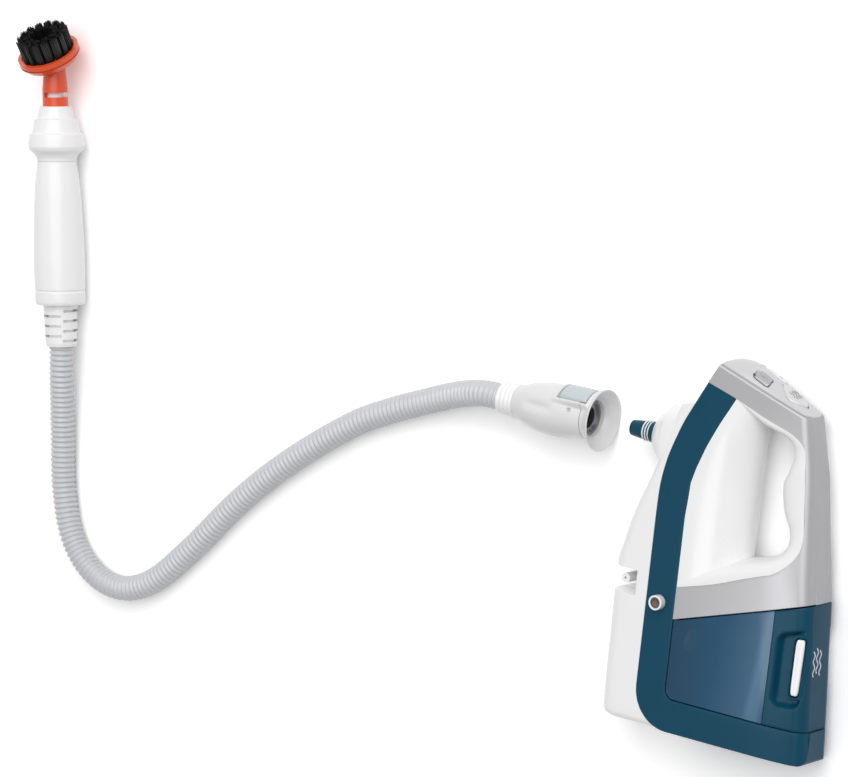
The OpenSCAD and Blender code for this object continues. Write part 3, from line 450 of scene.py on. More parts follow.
# a point past each end makes the hose leave the coupling and enter the wand straight
hose_before = 2 * np.array(HOSE_POINTS[0]) - (COUPLING_END[0] - 20, NOZZLE_Y, MID)
hose_line, hose_places = evenly(
    curve(HOSE_POINTS, hose_before, WAND_AT + 24 * WAND_WAY, steps=24), RIB / RINGS_A_RIB)
hose_dip = (0.5 + 0.5 * np.cos(2 * np.pi * hose_places / RIB)) ** 1.6
hose = piece("corrugated_hose", [tube(hose_line, HOSE_R - GROOVE * hose_dip, 40)],
             "hose_kit", ["hose"], HOSE_GREY, sharp=70)
print(f"the hose is {hose_places[-1]:.1f} mm long with {hose_places[-1] / RIB:.0f} ribs")

# %% [markdown]
# ## The side surface
# Both sides of the steamer are one gentle surface: flat round the tank, then leaning in
# towards the handle, and rolling over at the rear corner. Every shell on the side lies on
# it, so it is one function of the place in the side view, and the seams match by themselves.


# %% Half width of the steamer
SIDE_HIGH, SIDE_FALL_X, SIDE_FALL_Y = 38.7, 0.104, 0.083
REAR_LINE = ([-12, 2, 13, 109, 118, 160, 200, 243],
             [68.4, 67.6, 66.6, 59.0, 57.6, 51.8, 46.4, 36])


def half_side(x, y):
    """Half the thickness at (x, y): the lesser of the slab and a leaning plane, blended over
    1.5 mm, less a slow taper and a quarter circle near the rear edge."""
    plane = SIDE_HIGH - SIDE_FALL_X * x - SIDE_FALL_Y * y
    mix = np.clip(0.5 + (plane - MID) / 3, 0, 1)
    flat = plane * (1 - mix) + MID * mix - 1.5 * mix * (1 - mix)
    rear = np.interp(y, REAR_LINE[0], REAR_LINE[1])
    r = np.interp(y, [0, 110, 240], [9.5, 9, 6])
    d = np.clip(r - (rear - x), 0, r)
    taper = np.interp(y, [0, 110, 240], [4, 4, 1.5]) * np.clip((x - rear + 40) / 40, 0, 1) ** 2
    return flat - taper - (r - np.sqrt(np.maximum(r * r - d * d, 0)))


def mirrored(rings):
    """The same rings on the steamer's right side."""
    return rings * (1, 1, -1) + (0, 0, 2 * MID)


print(f"half width: {half_side(0, 40):.1f} mm at the tank, {half_side(0, 250):.1f} at the head")

# %% [markdown]
# The bands and the handle are strips of shell with a rounded edge on both sides. One helper
# makes them all: it takes two matched lines in the side view and lays a ring across at each
# pair of points, with its height read from the side surface.


# %% A strip of shell
def strip(inner, outer, wall, soft_in=0.5, soft_out=0.5, skirt=False, top=half_side, across=14):
    """Rings across a strip of shell between two matched lines in the side view. Each ring
    climbs a quarter circle, crosses at the height of top(x, y), comes down another quarter
    circle and returns one wall lower. With a skirt it first drops to the middle plane."""
    inner, outer = np.array(inner, float), np.array(outer, float)
    n = len(inner)
    soft_in = np.broadcast_to(np.asarray(soft_in, float), n)[:, None]
    soft_out = np.broadcast_to(np.asarray(soft_out, float), n)[:, None]
    wall = np.broadcast_to(np.asarray(wall, float), n)[:, None]
    width = np.linalg.norm(outer - inner, axis=1)[:, None]
    way = (outer - inner) / width
    turn = np.linspace(0, np.pi / 2, 5)
    edge, drop = 1 - np.cos(turn), 1 - np.sin(turn)
    middle = np.sin(np.linspace(0, np.pi / 2, across))[None, 1:-1]
    far = np.hstack([soft_in * edge, soft_in + (width - soft_in - soft_out) * middle,
                     width - soft_out * edge[::-1]])
    lower = np.hstack([soft_in * drop, np.zeros((n, across - 2)), soft_out * drop[::-1]])
    flat = inner[:, None] + far[..., None] * way[:, None]
    height = top(flat[..., 0], flat[..., 1])
    over = np.dstack([flat, MID + height - lower])
    back = far[:, ::-1] * np.clip((width - wall * skirt) / width, 0.3, 1)
    under = inner[:, None] + back[..., None] * way[:, None]
    level = np.maximum(top(under[..., 0], under[..., 1]) - wall, 0)
    below = np.dstack([under, MID + level])
    if not skirt:
        return np.concatenate([over, below], 1)
    foot = np.dstack([flat[:, -1:], np.full((n, 1), MID)])
    inner_foot = np.dstack([under[:, :1], np.full((n, 1), MID)])
    return np.concatenate([over, foot, inner_foot, below], 1)


flat_strip = strip([(0, 0), (1, 0)], [(0, 9), (1, 9)], 2)
print("a ring of a strip has", flat_strip.shape[1], "points")

# %% [markdown]
# ## Blue side bands
# A band starts at the head, runs down the front, turns at the foot and goes along the base
# to the rear. It is drawn by two matched lines, its inner and outer edge: smooth curves
# above, quarter circles at the corner. The rear end is sampled as a sine, so that the last
# steps are short where the surface rolls over.

# %% Side bands
BAND_WALL = 2.4
BASE_Y, FLOOR_Y = -12.0, 13.0
FRONT_X, POST_X = -78, -52.5
STRAIGHT, CORNER, REAR = 8, 16, 14
REAR_FROM, REAR_RUN = 52, 15.9
HEEL_FROM, HEEL_R = 64.4, 3.5
corner = np.linspace(np.pi, 1.5 * np.pi, CORNER)
rear_x = REAR_FROM + REAR_RUN * np.sin(np.linspace(0, np.pi / 2, REAR))
heel = HEEL_R * (1 - np.sqrt(1 - np.clip((rear_x - HEEL_FROM) / HEEL_R, 0, 1) ** 2))
front_outer = curve([(-47, 256), (-55.7, 237.7), (-63.7, 221.6), (-71.8, 199.7),
                     (-75.4, 185.3), (-77.4, 170.6), (FRONT_X, 150)], after=(FRONT_X, 130))
front_inner = curve([(-22.4, 247.8), (-33, 226.2), (-41.4, 207.7), (-47.7, 190.9),
                     (-50.9, 179.3), (-51.5, 167), (POST_X, 152)], after=(POST_X, 132))
band_outer = np.vstack([
    front_outer,
    np.column_stack([np.full(STRAIGHT, FRONT_X), np.linspace(140, 24, STRAIGHT)]),
    np.column_stack([-48 + 30 * np.cos(corner), 18 + 30 * np.sin(corner)]),
    np.column_stack([np.linspace(-40, 44, STRAIGHT), np.full(STRAIGHT, BASE_Y)]),
    np.column_stack([rear_x, BASE_Y + heel])])
band_inner = np.vstack([
    front_inner,
    np.column_stack([np.full(STRAIGHT, POST_X), np.linspace(140, 26, STRAIGHT)]),
    np.column_stack([-44.5 + 8 * np.cos(corner), 21 + 8 * np.sin(corner)]),
    np.column_stack([np.linspace(-38, 44, STRAIGHT), np.full(STRAIGHT, FLOOR_Y)]),
    np.column_stack([rear_x, np.full(REAR, FLOOR_Y)])])
corner_end = len(front_outer) + STRAIGHT + CORNER
band_rings = strip(band_inner, band_outer, BAND_WALL, 0.6, 0.8)
piece("band_left_skin", [loft(band_rings)], "steamer", ["band_left"], BLUE)
piece("band_right_skin", [loft(mirrored(band_rings))], "steamer", ["band_right"], BLUE)

# %% [markdown]
# The base between the bands is a solid from side to side. It uses the same two lines, from
# a little way round the corner. One wall narrower than the bands, it lies inside them, and
# at the rear it widens to a plate that covers the bands' ends.


# %% Base tray
def both_sides(inner, outer, top, soft=0.6):
    """Rings of a solid that reaches from one side of the steamer to the other."""
    rings = strip(inner, outer, 0, soft, soft, top=top)
    over = rings[:, :rings.shape[1] // 2]
    return np.concatenate([over, mirrored(over)[:, ::-1]], 1)


base_from = len(front_outer) + STRAIGHT + 6
tray_end = np.array([[0.02, 0], [0.15, 0]])
tray_inner = np.vstack([band_inner[base_from:], band_inner[-1] + tray_end])
tray_outer = np.vstack([band_outer[base_from:], band_outer[-1] + tray_end])


def tray_half(x, y):
    """One wall under the side surface; at the rear plate a tenth over the bands' ends."""
    band_end = REAR_FROM + REAR_RUN
    return np.where(x > band_end + 0.01, half_side(band_end, y) + 0.1,
                    half_side(x, y) - BAND_WALL - 0.02)


piece("base_tray_core", [loft(both_sides(tray_inner, tray_outer, tray_half, 0.1))], "steamer",
      ["base_tray"], BLUE, sharp=45)

# %% [markdown]
# ## Silver handle shells
# The handle's left and right shells meet in the middle plane. Each is a C: its inner edge
# follows the white grip, its outer edge the head, the rear and the tank line. A skirt takes
# the shell down to the seam. The head's top edge is rounder than the others, and the first
# stations are solid, which makes the wall that closes the head in front.

# %% Handle shells
HANDLE_PAIRS = np.array([
    (-47, 256, -39.5, 271.5), (-44.6, 255.2, -37.2, 270.6), (-22.4, 247.8, -18, 263.5),
    (0, 239, 0, 256.8), (12, 234.8, 12, 252.4), (23, 231, 23, 248.3), (31.3, 226.5, 31.5, 245.1),
    (34.4, 224, 35.2, 243.2), (36.5, 221, 37.3, 238), (38, 217, 40.5, 224.5),
    (38.5, 214, 43.1, 214), (43, 183, 48.9, 183), (46.3, 158, 52.3, 158), (45.6, 147, 54, 146),
    (41, 138, 56, 132), (33, 130, 58, 118), (30, 128, 59.6, 109), (29.6, 127.7, 59.5, 108.9),
    (29, 127.4, 58.4, 108.5), (28, 126.8, 55.5, 107.6), (26.8, 126, 51.5, 106.4),
    (25.2, 125, 45, 104.4), (14.2, 121.5, 22, 97.2), (-22.7, 107.6, -22.7, 83.4),
    (-52.5, 99, -52.5, 74.2)])
HANDLE_WALL, SOLID = 2.4, 40.0
handle = curve(HANDLE_PAIRS, steps=5)
# the head's edge is set down a little, so that the panel stands proud of it
handle[:, 2:][handle[:, 3] > 244] -= (0.0, 0.3)
head = np.interp(handle[:, 2], [-40, 30, 38], [2.4, 2.2, 0.6]) * (handle[:, 3] > 225)
in_front = (handle[:, 0] < -44.5) & (handle[:, 1] >= 200)
handle_wall = np.where(in_front, SOLID, HANDLE_WALL)
handle_rings = strip(handle[:, :2], handle[:, 2:], handle_wall, 0.35, np.maximum(head, 0.5),
                     skirt=True, across=18)
piece("handle_shell_left_skin", [loft(handle_rings)], "steamer", ["handle_shell_left"],
      SILVER, sharp=40)
piece("handle_shell_right_skin", [loft(mirrored(handle_rings))], "steamer",
      ["handle_shell_right"], SILVER, sharp=40)

# %% [markdown]
# ## White grip liner
# The liner is the soft lip round the hand opening. From the seam to the opening its height
# falls as the square root of one less a cube: level at the seam, then ever steeper, until
# both sides meet in the middle plane. The section is that curve there and back.

# %% Grip liner
LINER_PAIRS = np.array([
    (-24, 248.3, -24, 245.5), (-12, 243.9, -12, 238), (0, 239, -2, 231.5),
    (12, 234.8, 9, 227.6), (23, 231, 16, 225.6), (31.3, 226.5, 20.5, 222.5),
    (36.5, 221, 22.8, 217.5), (38.5, 214, 23.4, 210.5), (40, 203, 20.5, 201),
    (42, 190, 16.5, 189), (44.5, 171, 20.5, 171), (46.3, 158, 27.5, 159),
    (45.6, 147, 29, 149.5), (41, 138, 25, 141), (33, 130, 16.5, 136), (25.2, 125, 8, 133),
    (5, 118, -2, 130),
    (-22.7, 107.6, -24, 124), (-52.3, 99.1, -52.3, 113)])
liner = curve(LINER_PAIRS, steps=5)
t = np.linspace(0, 1, 22) ** 0.8
liner_flat = liner[:, None, :2] * (1 - t)[:, None] + liner[:, None, 2:] * t[:, None]
liner_high = (half_side(liner[:, 0], liner[:, 1]) - 0.15)[:, None] * np.sqrt(
    np.maximum(1 - t ** 3, 0))
liner_top = np.dstack([liner_flat, MID + liner_high])
liner_rings = np.concatenate([liner_top, mirrored(liner_top)[:, -2::-1]], 1)
piece("grip_liner_skin", [loft(liner_rings)], "steamer", ["grip_liner"], LINER)

# %% [markdown]
# ## White body shells
# Each half of the white body is one open grid: rows climb from the foot to the head, and a
# section runs from the nose round the front corner, along the side, under the blue band and
# over the post inside the hand opening. It steps down where the band lies on it. A notch in
# the front is made by giving two heights twice, once outside the notch and once inside.

# %% White body halves
NOTCH, NOTCH_BACK = (85.0, 104.0), -89.0
NOSE = [(-12, -110.2), (20, -111.5), (NOTCH[0], -112.5), (NOTCH[1], -112.5), (112, -112),
        (123, -108.5), (139, -104.6), (157, -98.1), (176, -90.2), (191, -84.5), (205, -80),
        (222, -74), (236, -68), (238, -62), (240, -54.4), (256, -47)]
FOOT_SOFT = 6.0
lift = 1 - np.cos(np.linspace(0, np.pi / 2, 7))
rows_y = np.concatenate([
    BASE_Y + FOOT_SOFT * lift, np.linspace(0, 84, 15), [NOTCH[0], NOTCH[0] + 0.02, 90, 95, 95.02],
    [100, NOTCH[1] - 0.02, NOTCH[1]], np.arange(107, 236, 3.0), [236, 238, 240, 243, 246, 250]])
in_notch = (rows_y > NOTCH[0] + 0.01) & (rows_y < NOTCH[1] - 0.01)
has_post = rows_y > 95.01
nose_x = np.where(in_notch, NOTCH_BACK, np.interp(rows_y, *np.array(NOSE).T))
foot_in = FOOT_SOFT * (1 - np.sin(np.arccos(np.clip(1 - (rows_y - BASE_Y) / FOOT_SOFT, 0, 1))))
front_r = np.where(in_notch, 1.5, np.interp(rows_y, [0, 110, 190, 236, 240], [13, 14, 10, 5, 2]))
band_line = band_outer[:corner_end][::-1]
band_front = np.interp(rows_y, band_line[:, 1], band_line[:, 0])
band_back = np.interp(rows_y, [13, 30, 152, 167, 179.3, 190.9, 207.7, 226.2, 247.8],
                      [-52.6, -52.6, -52.6, -51.5, -50.9, -47.7, -41.4, -33, -22.4])


def white_section():
    """For every row: along the nose, round its corner, back along the side at 0.6 mm under
    the band's level, under the band, and over the post as a superellipse quarter. The
    post's last points lie close together, so that both halves meet in one smooth round."""
    y = rows_y[:, None]
    nose = (nose_x + foot_in)[:, None]
    front, back = band_front[:, None], np.maximum(band_back, band_front + 0.5)[:, None]
    r = front_r[:, None]
    corner_h = half_side(nose + r, y) - 0.6 - foot_in[:, None]
    turn = np.linspace(0, np.pi / 2, 12)[None]
    at = lambda x, below: (x, np.maximum(half_side(x, y) - below - foot_in[:, None], 0))
    share = lambda a, b, k: a + (b - a) * np.linspace(0, 1, k)[None]
    nose_run = (nose + np.zeros((1, 4)), share(np.zeros_like(nose), corner_h - r, 5)[:, :-1])
    bend = (nose + r * (1 - np.cos(turn)), corner_h - r + r * np.sin(turn))
    side = at(share(nose + r, np.maximum(front - 0.15, nose + r), 6)[:, 1:], 0.6)
    under = at(share(front + 0.1, back - 0.1, 5), BAND_WALL + 0.05)
    flat = at(back + np.zeros((1, 1)), 0.35)
    reach = np.maximum(-5.0 - back, 4)
    u = np.sin(np.pi / 2 * (1 - (1 - np.linspace(0, 1, 28)) ** 1.5))[None]
    over = (back + reach * u, flat[1] * np.sqrt(np.maximum(1 - u ** 2.2, 0)))
    shut = (back + 0 * u, np.maximum(under[1][:, -1:], 0) * (1 - np.linspace(0, 1, 28)[None]))
    rear_run = [np.where(has_post[:, None], a, b) for a, b in zip(over, shut)]
    parts = [nose_run, bend, side, under, rear_run]
    x, h = (np.hstack([p[k] for p in parts]) for k in (0, 1))
    return np.dstack([x, np.broadcast_to(y, x.shape), MID + h])


white_rows = white_section()


def white_half(rows):
    """The open grid of one half with its foot and head closed down to the middle plane."""
    n, m = rows.shape[:2]
    faces = quads(n, m).tolist()
    faces += [list(range(m - 1, -1, -1)), list(range((n - 1) * m, n * m))]
    return rows.reshape(-1, 3), faces


for name, rows in (("left", white_rows), ("right", mirrored(white_rows))):
    piece(f"white_shell_{name}_skin", [white_half(rows)], "steamer", [f"white_shell_{name}"],
          WHITE, sharp=38, shell=1.6, inside=(-75, 110, MID))

# %% [markdown]
# ## Crowned control panel
# The panel closes the head. Across the head it is an arc, and along it the arc's height
# rises quickly from the front and sinks slowly to the rear. The seats of the buttons are
# worked into the same height: a rounded outline is a distance, and where that distance
# turns negative the surface steps down.

# %% The panel's surface
PANEL_SLOPE = math.radians(26)
EDGE_FRONT_X, EDGE_FRONT_Y, EDGE_FALL = -39.5, 271.9, 0.3716
ARC_R, ARC_HALF = 30, 22
SEAT_DEEP, SEAT_GAP = 2.8, 0.7
CROWN_X = -17.0
PANEL_IN = 2.2
STEAM_AT, POWER_AT, MODE_AT, LENS_AT = (37, 1.5), (10, 9.5), (16, -6.8), (0, -4)


def panel_edge(x):
    """Height of the panel's side edge."""
    return EDGE_FRONT_Y - EDGE_FALL * (x - EDGE_FRONT_X)


def panel_height(x, z):
    """The edge's height, plus the crown's height times an arc across the head."""
    crown = np.interp(x, CROWN_LINE[:, 0], CROWN_LINE[:, 1])
    half = half_side(x, panel_edge(x)) - PANEL_IN
    across = np.clip(np.abs(z - MID) / half, 0, 1)
    low = math.sqrt(ARC_R ** 2 - ARC_HALF ** 2)
    arc = (np.sqrt(ARC_R ** 2 - (across * ARC_HALF) ** 2) - low) / (ARC_R - low)
    return panel_edge(x) + crown * arc


CROWN_LINE = curve([(-40.5, 0.3), (-38, 2.2), (-32, 5.4), (-24, 7.9), (-15, 8.6), (3, 7.4),
                    (19, 4.6), (28, 2.2), (33, 0.5), (36, -0.8)], steps=8)


def from_outline(a, b, half, power):
    """Roughly the distance to a superellipse, below zero inside: a power of 1.35 makes a
    rounded diamond, and a power of 5 a rounded rectangle."""
    size = (np.abs(a / half[0]) ** power + np.abs(b / half[1]) ** power) ** (1 / power)
    return (size - 1) * min(half)


KEYS = {"steam": (STEAM_AT, 1.35, (12.4, 8.6)), "power": (POWER_AT, 5.0, (7.3, 3.5)),
        "mode": (MODE_AT, 5.0, (6.8, 3.6))}


def key_seats(x, z):
    """How far the surface steps down inside the outlines; each wall is 0.35 mm wide."""
    deep = np.zeros_like(x)
    for at, power, half in KEYS.values():
        a = (x - CROWN_X) / math.cos(PANEL_SLOPE) - at[0]
        grown = (half[0] + SEAT_GAP, half[1] + SEAT_GAP)
        gap = from_outline(a, z - MID - at[1], grown, power)
        deep = np.maximum(deep, SEAT_DEEP * np.clip(0.5 - gap / 0.35, 0, 1))
    return deep


print(f"the crown stands {CROWN_LINE[:, 1].max():.1f} mm over the panel's edge")

# %% [markdown]
# The panel is a slab on that surface. Its stations are fine enough along the head, and
# closer together towards its sides, for the walls of the seats to come out sharp.


# %% The panel's slab
ends = (-40.6, 35.6)
run = np.linspace(0, 1, 300)
span = np.sin(np.linspace(-np.pi / 2, np.pi / 2, 160))
px = (ends[0] + (ends[1] - ends[0]) * run)[:, None] + 0 * span
pz = MID + (half_side(px, panel_edge(px)) - PANEL_IN) * span
px = px + 2.0 * (1 - run[:, None]) * span ** 2 - 1.6 * run[:, None] ** 8 * span ** 4
top = np.dstack([px, panel_height(px, pz) - key_seats(px, pz), pz])
below = np.dstack([px, panel_edge(px) - 1.6 + 0 * pz, pz])
panel_rings = np.concatenate([top, below[:, ::-1]], 1)
piece("control_panel_skin", [loft(panel_rings)], "steamer", ["control_panel"],
      PANEL, sharp=50)

# %% [markdown]
# ## Buttons
# A button is a polar grid: rings shrink from its outline to its middle. Its top follows the
# panel and stands a little proud, with a rounded rim. The marks on it are raised threads:
# a short level bar for power, a ring for mode, and three wavy lines of steam.


# %% Buttons and their marks
def outline(shape_power, half, count=96):
    """Points of a superellipse: cosine and sine raised to two over its power."""
    a = np.arange(count) * 2 * np.pi / count
    c, s = np.cos(a), np.sin(a)
    return np.column_stack([half[0] * np.sign(c) * np.abs(c) ** (2 / shape_power),
                            half[1] * np.sign(s) * np.abs(s) ** (2 / shape_power)])


def on_panel(at, flat, proud):
    """Places button coordinates on the panel, 'proud' above it along the press axis."""
    x = CROWN_X + (at[0] + flat[..., 0]) * math.cos(PANEL_SLOPE)
    z = MID + at[1] + flat[..., 1]
    y = panel_height(x, z)
    return np.stack([x + proud * math.sin(PANEL_SLOPE), y + proud * math.cos(PANEL_SLOPE), z],
                    -1)


def key(at, power, half, proud, soft=1.0):
    """Rings from the button's foot up its side, over a quarter-circle rim and inwards."""
    rim = outline(power, half)
    turn = np.linspace(0, np.pi / 2, 6)
    shrink = np.concatenate([[0], soft * (1 - np.cos(turn)), [soft + 1.5, soft + 3]])
    up = np.concatenate([[-0.8], proud - soft * (1 - np.sin(turn)), [proud, proud]])
    scale = 1 - shrink[:, None] / np.array(half)[None]
    flat = rim[None] * scale[:, None]
    return loft(on_panel(at, flat, up[:, None]))


def thread(at, line, proud, radius=0.22):
    """A thin raised line on a button: a tube of six sides along points on the panel."""
    path = on_panel(at, np.array(line, float), proud)
    way = unit(np.gradient(path, axis=0))
    out = np.array([math.sin(PANEL_SLOPE), math.cos(PANEL_SLOPE), 0])
    aside = unit(np.cross(way, out))
    a = np.arange(6) * np.pi / 3
    arm = np.cos(a)[None, :, None] * aside[:, None] + 0.7 * np.sin(a)[None, :, None] * out
    return loft(path[:, None] + radius * arm)


wave = np.linspace(-4.2, 4.2, 28)
steam_lines = [np.column_stack([wave, k + 0.8 * np.sin(wave * 1.5)]) for k in (-3.2, 0, 3.2)]
ring_angle = np.linspace(0, 2 * np.pi, 30)
mode_ring = np.column_stack([1.5 * np.cos(ring_angle), 1.5 * np.sin(ring_angle)])
MARKS = {"steam": steam_lines, "mode": [mode_ring],
         "power": [np.column_stack([np.linspace(-1.6, 1.6, 8), np.zeros(8)])]}
KEY_FINISH = {"steam": (1.6, 0.7, STEAM_SILVER), "power": (5.0, 0.55, KEY_SILVER),
              "mode": (5.0, 0.55, KEY_WHITE)}
for name, (power, proud, material) in KEY_FINISH.items():
    at, _, half = KEYS[name]
    body = f"{name}_key"
    piece(f"{name}_button_cap", [key(at, power, half, proud)], body, [f"{name}_button"],
          material, sharp=60)
    marks = [thread(at, line, proud + 0.05) for line in MARKS[name]]
    piece(f"{name}_button_mark", marks, body, [], KEY_LINES, sharp=60)
lens_rim = outline(2.0, (1.8, 1.8), 48)
lens_rings = on_panel(LENS_AT, lens_rim[None] * np.array([1, 1, 0.9, 0.6, 0.2])[:, None, None],
                      np.array([-1.5, 0.15, 0.45, 0.7, 0.8])[:, None])
piece("indicator_lens_dome", [loft(lens_rings)], "steamer", ["indicator_lens"],
      LENS_GLASS, sharp=60)

# %% [markdown]
# ## Nozzle, dome, stud and peg
# These are lathe shapes. The dome is wider than the body is thick, so its sides are pressed
# flat: the height across the steamer passes through a soft minimum. The nozzle has three
# seal rings in grooves, which give the coupling a tight fit.

# %% Turned parts of the steamer
dome_profile = soften([(-97.5, 7.7), (-97.5, 10.8), (-95.4, 14), (-91.5, 18.4), (-87.5, 21.6),
                       (-84.4, 23.8), (-83.2, 26.8), (-78, 29.2), (-70, 31.9), (-60, 33.6),
                       (-60, 8)], 1.6, 5)
points, faces = nozzle_turned(dome_profile, closed=True, sides=128)
flat_side = half_side(points[:, 0], points[:, 1]) - 1.2
over_side = np.abs(points[:, 2] - MID)
free = 0.7 * flat_side
squeeze = np.where(over_side < free, over_side, free + 0.3 * flat_side * np.tanh(
    (over_side - free) / (0.3 * flat_side)))
points[:, 2] = MID + np.sign(points[:, 2] - MID) * squeeze
piece("nozzle_dome_skin", [(points, faces)], "steamer", ["nozzle_dome"], WHITE,
      sharp=40)
nozzle_profile = soften([(-121, 2), (-121, 6), (-109, 7.25), (-109, 6.6), (-107.8, 6.6),
                         (-107.8, 7.45), (-106.6, 7.45), (-106.6, 6.6), (-105.4, 6.6),
                         (-105.4, 7.6), (-104.2, 7.6), (-104.2, 6.6), (-103, 6.6), (-103, 8),
                         (-97.4, 8), (-97.4, 7.5), (-84, 7.5), (-84, 2)], 0.5, 4)
piece("steam_nozzle_turned", [nozzle_turned(nozzle_profile, closed=True)], "steamer",
      ["steam_nozzle"], BLUE, sharp=30)
seal_parts = []
for x in (-109, -106.6, -104.2):
    a = np.linspace(0, 2 * np.pi, 13)[:-1]
    lip = np.column_stack([x + 0.6 + 0.58 * np.cos(a), 7.3 + 0.68 * np.sin(a)])
    seal_parts.append(nozzle_turned(lip, closed=True))
piece("nozzle_seal_rings", seal_parts, "steamer", ["nozzle_seals"], SEAL)
STUD_AT = (-66, 84.8, 48)
stud_profile = soften([(-3, 0), (-3, 3), (0, 3), (0, 5.7), (6.3, 5.7), (6.3, 4.2), (1, 4.2),
                       (1, 0)], 0.55, 5)
piece("strap_stud_turned", [turned(stud_profile, STUD_AT, (0, 0, 1), (1, 0, 0))], "steamer",
      ["strap_stud"], WHITE, sharp=40)
# A dark sleeve in the stud's bore is painted shade: it stands for the darkness inside the hole,
# not for a real part.
bore_profile = [(1.05, 0), (5.0, 4.15), (5.6, 4.15), (5.6, 3.7), (1.5, 3.4), (1.5, 0)]
piece("strap_stud_bore_shade", [turned(bore_profile, STUD_AT, (0, 0, 1), (1, 0, 0))], "steamer",
      [], BORE_PAINTED_SHADE, sharp=40)

# %% [markdown]
# ## Water tank
# The tank's window is clear tinted plastic. It is one closed skin from side to side with a
# round front lower corner. Alpha lets a little of what lies behind it show through, without
# the noise of refraction.


# %% Tank window
TANK_LINE = math.tan(math.radians(17.2))
GRIP_X = 33.7
WINDOW_FROM, WINDOW_R = -51.8, 7


def tank_top(x):
    """Height of the tank's top edge."""
    return 74 + (x + 52.5) * TANK_LINE - 0.8


def window_half(x, y):
    """The window lies half a millimetre under the side surface."""
    return half_side(x, y) - 0.5


bend = WINDOW_FROM + WINDOW_R * (1 - np.cos(np.linspace(0, np.pi / 2, 9)))
window_x = np.concatenate([bend, np.linspace(WINDOW_FROM + 8.5, GRIP_X - 0.8, 24)])
window_low = FLOOR_Y + 0.6 + WINDOW_R - np.sqrt(np.maximum(
    WINDOW_R ** 2 - np.clip(WINDOW_FROM + WINDOW_R - window_x, 0, WINDOW_R) ** 2, 0))
tank_outer = loft(both_sides(np.column_stack([window_x, window_low]),
                             np.column_stack([window_x, tank_top(window_x)]),
                             window_half, 0.7))
piece("water_tank_window", [tank_outer], "tank", ["water_tank"], TANK)

# %% [markdown]
# ## Tank grip with its finger pockets
# The grip is a loft of level rings: along the left side, round the rear corner, across the
# rear and back along the right side. The pocket is a smooth dent in both sides, described
# by rounded rectangles; a raised frame stands in it round the latch plate.


# %% Tank grip
def box_gap(x, y, centre, half, r):
    """Signed distance to a rounded rectangle."""
    qx, qy = np.abs(x - centre[0]) - half[0] + r, np.abs(y - centre[1]) - half[1] + r
    return np.hypot(np.maximum(qx, 0), np.maximum(qy, 0)) + np.minimum(
        np.maximum(qx, qy), 0) - r


def step(gap, soft):
    """1 well inside an outline, 0 outside, smooth over 'soft' either way."""
    k = np.clip(0.5 - gap / (2 * soft), 0, 1)
    return k * k * (3 - 2 * k)


LATCH_CENTRE, LATCH_HALF = (55.3, 61), (3.1, 21.2)
TROUGH_DEEP, FRAME_DEEP, LATCH_SEAT_DEEP = 6.0, 0.5, 5.9


def pocket(x, y):
    """Depth of the finger pocket: a soft trough, a frame that rises out of it, and the
    latch plate's seat. The tops slant up to the rear."""
    slant = y - 0.3 * (x - 50) * step(40 - y, 20)
    trough = TROUGH_DEEP * step(box_gap(x, slant, (49, 58.5), (10.2, 27.5), 5), 2.4)
    raised = step(box_gap(x, slant, (56.2, 60.6), (5.8, 24.6), 2), 0.5)
    roomy = (LATCH_HALF[0] + 0.5, LATCH_HALF[1] + 0.9)
    seat = LATCH_SEAT_DEEP * step(box_gap(x, y, LATCH_CENTRE, roomy, 2.6), 0.35)
    return np.maximum(trough * (1 - raised) + FRAME_DEEP * raised, seat)


grip_rows = np.linspace(0, 1, 110)[:, None]
side_run = np.concatenate([np.linspace(0, 0.74, 46), np.linspace(0.75, 1, 60)])
# past three quarters the stations follow a sine, and so crowd together at the rear corner
side_run = np.where(side_run > 0.75, 0.75 + 0.25 * np.sin((side_run - 0.75) * 2 * np.pi),
                    side_run)
side_x = GRIP_X + 0.1 + side_run[None] * 30
grip_y = FLOOR_Y + 0.7 + grip_rows * (tank_top(side_x) - FLOOR_Y - 0.9)
grip_rear = np.interp(grip_y, *REAR_LINE)
grip_x = GRIP_X + 0.1 + side_run[None] * (grip_rear - GRIP_X - 0.1)
grip_y = FLOOR_Y + 0.7 + grip_rows * (tank_top(grip_x) - FLOOR_Y - 0.9)
ease = 0.5 * np.maximum(1 - np.minimum(grip_rows, 1 - grip_rows) * 160, 0)
grip_h = half_side(grip_x, grip_y) - pocket(grip_x, grip_y) - ease
left_side = np.dstack([grip_x, grip_y, MID + grip_h])
grip_rings = np.concatenate([left_side, mirrored(left_side)[:, ::-1]], 1)
piece("tank_grip_skin", [loft(grip_rings)], "tank", ["tank_grip"], BLUE, sharp=40)

# %% [markdown]
# A latch is a small white plate with a rounded rim that nearly fills its seat. It is a polar
# grid like the buttons. Its skirt ends well above the seat's floor, so the plate can be
# pressed in by its full travel.

# %% Latch plates
rim = outline(6.0, LATCH_HALF, 96)
turn = np.linspace(0, np.pi / 2, 6)
shrink = np.concatenate([[0], 1.1 * (1 - np.cos(turn)), [1.8, 2.4, 2.9]])
high = np.concatenate([[-2.0], -1.1 * (1 - np.sin(turn)) + 0.15, [0.2, 0.24, 0.25]])
plate = rim[None] * (1 - shrink[:, None] / np.array(LATCH_HALF))[:, None]
plate = plate + np.array(LATCH_CENTRE)
plate_z = MID + half_side(np.minimum(plate[..., 0], 56.0), plate[..., 1]) - 0.9 + high[:, None]
plate_rings = np.dstack([plate, plate_z])
for name, rings in (("left", plate_rings), ("right", mirrored(plate_rings))):
    piece(f"latch_{name}_plate", [loft(rings)], f"latch_plate_{name}", [f"latch_{name}"],
          WHITE, sharp=50)

# %% [markdown]
# A small steam sign is printed on the grip's rear: three wavy lines. Print is modelled as
# thin flat ribbons that lie a tenth of a millimetre above the skin.


